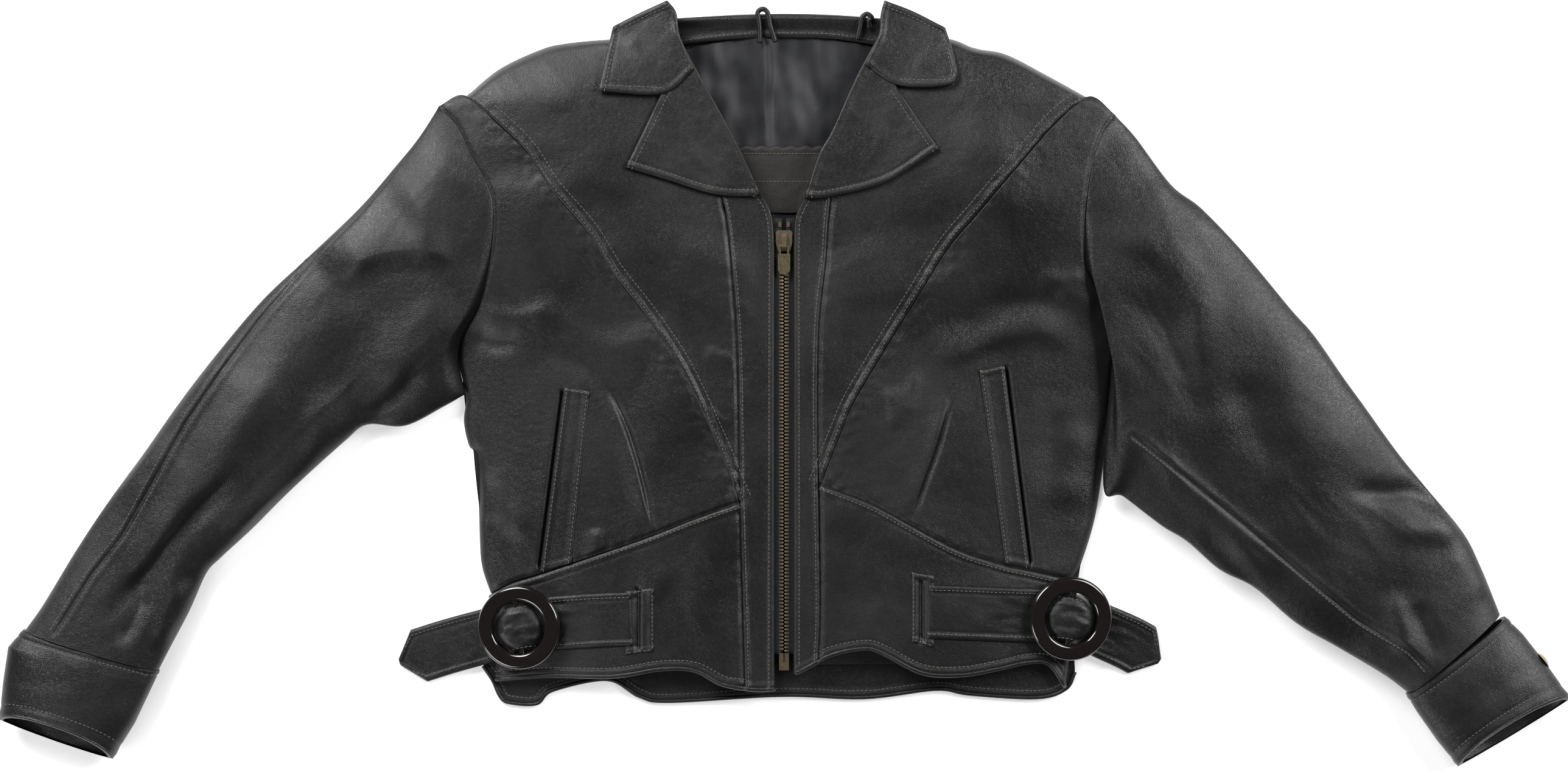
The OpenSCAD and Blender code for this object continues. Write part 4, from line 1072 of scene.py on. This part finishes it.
def build_belts(strength, pitch):
    """Belt slots and straps; the strap gathers where it passes through its ring."""
    for side, name in SIDE_NAME.items():
        o = OUTLINE[side]
        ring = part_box(f"{name}_ring_buckle")
        mid = (ring[0] + ring[1]) / 2 / MM
        rx, ry = abs(mid.x), mid.y
        line = smooth_line(o["strap"], 16)
        share = np.linspace(0, 1, 150)
        path = at_shares(line, share)
        far = path[:, 0] - rx
        half = 22.5 - 2.2 * bell(far, 20)
        along = length_of(line) * (1 - share)
        half = half * np.where(along < 17, 0.12 + 0.88 * along / 17, 1.0)
        cross = np.linspace(-1, 1, 41)
        normal = beside(path, 1.0) - path
        grid = path[:, None] + normal[:, None] * (cross[None] * half[:, None])[..., None]
        x, y = grid[..., 0], grid[..., 1]
        on_body = np.maximum(front_z(x, y), 0) + relief(x, y, side, strength) * 0.4 + 1.9
        hang = np.interp(far, [0, 20, 34, 60, 110], [14, 8.5, 7.0, 5.0, 2.4])
        base = np.where(far[:, None] > 6,
                        np.minimum(on_body, mix(on_body, hang[:, None], ease(0, 26, far)[:, None])),
                        on_body)
        out_r = np.hypot(x - rx, y - ry)
        dome = np.sqrt(np.clip(1 - (out_r / 20.6) ** 5, 0, 1))
        z = mix(base, np.maximum(base, mid.z + 3.4), dome)
        lateral = cross[None] * half[:, None]
        fine_folds = noise(far[:, None] * 0.5 + 0 * x, lateral, 4.5, 81 + side)
        z = z + dome * (0.35 * np.cos(lateral * 0.5 + 0.05 * far[:, None]) + 0.5 * fine_folds)
        z = z + (1 - dome) * bell(out_r, 52) * 0.9 * noise(far[:, None] * 0.35 + 0 * x, lateral, 6,
                                                           85 + side)
        z = z - 4.0 * (1 - ease(0, 4.5, length_of(line) * share))[:, None]
        z = z + 0.4 * noise(x, y, 20, 83 + side)
        edge = (1 - np.abs(cross))[None] * half[:, None]
        z = z - edge_drop(edge, "turned", z)
        top = np.stack([x * side, y, z], -1)
        points, faces = shell(top, top - [0, 0, 2.0], flip=side > 0)
        # The strap's edges are painted lighter: edge wear and painted highlight.
        obj = add_mesh(f"{name}_strap_leather", points, faces, "leather",
                       np.r_[bell(edge, 1.3).ravel() * 0.6, np.zeros(x.size)])
        surface(obj.name, top)
        stand_in(obj, "torso", f"{name}_belt_strap")
        rows = [stitch_row([obj.name], grid[3:-6, k], side) for k in (4, 36)]
        s = o["slot"]

        def slot_height(x, y, sd=side):
            return front_z(x, y) + relief(x, y, sd, strength) + 0.9

        box, area = panel(f"{name}_slot_leather", side,
                          ([s[3], s[2]], [s[0], s[1]], [s[3], s[0]], [s[2], s[1]]),
                          {"left": "turned", "right": "turned", "bottom": "turned", "top": "turned"},
                          slot_height, 0, 1.5, thick=0.9)
        stand_in(box, "torso", f"{name}_belt_slot")
        corner, above, below = (s[3][0] + 2, s[3][1] + 2), (s[0][0] + 2, s[0][1] - 2), (s[2][0] - 2,
                                                                                        s[2][1] + 2)
        for line in ([corner, above], [corner, below], [above, (s[1][0] - 2, s[1][1] - 2)]):
            rows.append(stitch_row([box.name], line, side))
        stitches(f"{name}_belt_stitches", rows, "torso")
        dress(f"{name}_ring_buckle", "resin")


def build_zip(strength, pitch):
    """Zip teeth as small interlocking blocks on woven tapes; the other metal keeps its shape."""
    tooth_pitch, half_w = 2.9, 3.85
    for side, name in SIDE_NAME.items():
        y = np.arange(-213, 110, tooth_pitch) + (0 if side > 0 else tooth_pitch / 2)
        block = np.array([(x, yy, z) for x, hy in ((0.35, 0.45), (1.2, 0.95), (2.2, 0.62),
                                                   (half_w, 0.62)) for z in (-1, 1) for yy in (-hy, hy)],
                                                   float)
        block[:, 2] *= np.repeat([0.95, 1.15, 1.35, 1.2], 4)
        points = (block[None] * [side, 1, 1] + np.stack([np.zeros_like(y), y, np.full_like(y, 19.9)],
                                                        -1)[:, None]).reshape(-1, 3)
        f = []
        for k in range(3):
            a = 4 * k
            f += [[a, a + 4, a + 5, a + 1], [a + 2, a + 3, a + 7, a + 6], [a, a + 2, a + 6, a + 4],
                  [a + 1, a + 5, a + 7, a + 3]]
        f += [[0, 1, 3, 2], [12, 14, 15, 13]]
        f = np.array(f)[:, ::-1] if side > 0 else np.array(f)
        faces = (f[None] + np.arange(len(y))[:, None, None] * 16).reshape(-1, 4)
        obj = add_mesh(f"{name}_teeth", points, faces, "brass")
        obj.data.polygons.foreach_set("use_smooth", np.zeros(len(obj.data.polygons), bool))
        stand_in(obj, "torso", f"{name}_zip_teeth", slot="antique_brass")
        ys = np.linspace(-216, 141, 120)
        xs = np.array([1.7, 2.6, 3.4, 4.0, 5.2, 8, 12, 16])
        z = 19.3 + 0.8 * bell(xs - 3.2, 0.9)
        top = np.stack([np.broadcast_to(xs * side, (120, 8)), np.broadcast_to(ys[:, None], (120, 8)),
                        np.broadcast_to(z, (120, 8))], -1)
        points, faces = shell(top, top - [0, 0, 0.5], flip=side < 0)
        tape = add_mesh(f"{name}_tape_cloth", points, faces, "tape")
        stand_in(tape, "torso", f"{name}_zip_tape", slot="zip_tape")
        dress(f"{name}_top_stop", "brass")
    for node_name in ("zip_slider", "pull_tab", "zip_box"):
        dress(node_name, "brass")


def build_stage(strength, pitch):
    """Pale floor, soft lights and the camera looking straight down."""
    scene = bpy.context.scene
    mesh = bpy.data.meshes.new("floor")
    mesh.from_pydata([(-6, -6, -0.0005), (6, -6, -0.0005), (6, 6, -0.0005), (-6, 6, -0.0005)], [],
                     [(0, 1, 2, 3)])
    mesh.materials.append(bpy.data.materials["floor"])
    floor = bpy.data.objects.new("floor", mesh)
    scene.collection.objects.link(floor)
    for name, place, size, power, aim in (("key", (-1.5, 1.9, 1.9), 1.5, 96, (0, 0, 0)),
                                          ("fill", (2.1, 1.1, 1.8), 1.4, 66, (0, 0, 0)),
                                          ("low", (-1.8, -1.6, 1.6), 1.2, 28, (0, 0, 0))):
        lamp = bpy.data.lights.new(name, "AREA")
        lamp.size, lamp.energy = size, power
        obj = bpy.data.objects.new(name, lamp)
        obj.location = place
        obj.rotation_mode = "QUATERNION"
        obj.rotation_quaternion = (Vector(aim) - Vector(place)).to_track_quat("-Z", "Y")
        scene.collection.objects.link(obj)
    world = bpy.data.worlds.new("studio")
    world.use_nodes = True
    world.node_tree.nodes["Background"].inputs["Color"].default_value = (1, 1, 1, 1)
    world.node_tree.nodes["Background"].inputs["Strength"].default_value = 0.07
    scene.world = world
    scene.view_settings.view_transform = "Standard"
    cam = bpy.data.cameras.new("camera")
    cam.sensor_width = 36
    cam.lens = cam.sensor_width * EYE_HEIGHT / VIEW_WIDTH
    obj = bpy.data.objects.new("camera", cam)
    obj.location = (0, 0, EYE_HEIGHT + VIEW_LIFT)
    obj.rotation_euler = (0, 0, 0)
    scene.collection.objects.link(obj)
    scene.camera = obj


# ---------------------------------------------------------------- add-on
class JacketSettings(bpy.types.PropertyGroup):
    """Adjustable looks."""

    fold_strength: bpy.props.FloatProperty(name="Fold strength", default=1.0, min=0.0, max=2.0)
    pitch: bpy.props.FloatProperty(name="Mesh pitch in mm", default=2.05, min=1.2, max=6.0)


def operator(name, label, work):
    """An operator class whose execute runs one builder."""

    def execute(self, context):
        s = context.scene.jacket
        work(s.fold_strength, s.pitch)
        return {"FINISHED"}

    return type(f"JACKET_OT_{name}", (bpy.types.Operator,),
                {"bl_idname": f"jacket.{name}", "bl_label": label, "__doc__": work.__doc__,
                 "execute": execute})


OPERATORS = [
    operator("stage", "Stage and camera", build_stage),
    operator("fronts", "Fronts", build_fronts),
    operator("collar", "Collar and lapels", build_collar),
    operator("back", "Back and neck", build_back),
    operator("linings", "Linings", build_linings),
    operator("sleeves", "Sleeves", build_sleeves),
    operator("cuffs", "Cuffs", build_cuffs),
    operator("belts", "Belts", build_belts),
    operator("zipper", "Zip", build_zip),
]


class JACKET_PT_panel(bpy.types.Panel):
    """Sidebar panel with one button for each group of pieces."""

    bl_idname = "JACKET_PT_panel"
    bl_label = "Jacket"
    bl_space_type = "VIEW_3D"
    bl_region_type = "UI"
    bl_category = "Jacket"

    def draw(self, context):
        self.layout.prop(context.scene.jacket, "fold_strength")
        self.layout.prop(context.scene.jacket, "pitch")
        for op in OPERATORS:
            self.layout.operator(op.bl_idname)


CLASSES = [JacketSettings, *OPERATORS, JACKET_PT_panel]


def register():
    """Adds the classes and the scene's settings."""
    for c in CLASSES:
        bpy.utils.register_class(c)
    bpy.types.Scene.jacket = bpy.props.PointerProperty(type=JacketSettings)


def unregister():
    """Takes them away again."""
    del bpy.types.Scene.jacket
    for c in reversed(CLASSES):
        bpy.utils.unregister_class(c)


def main():
    """Builds every piece and writes the sizes before and after."""
    register()
    make_materials()
    for op in OPERATORS:
        name = op.bl_idname.split(".")[1]
        if getattr(bpy.ops.jacket, name)() != {"FINISHED"}:
            raise RuntimeError(f"{name} did not finish")


if __name__ == "__main__":
    main()
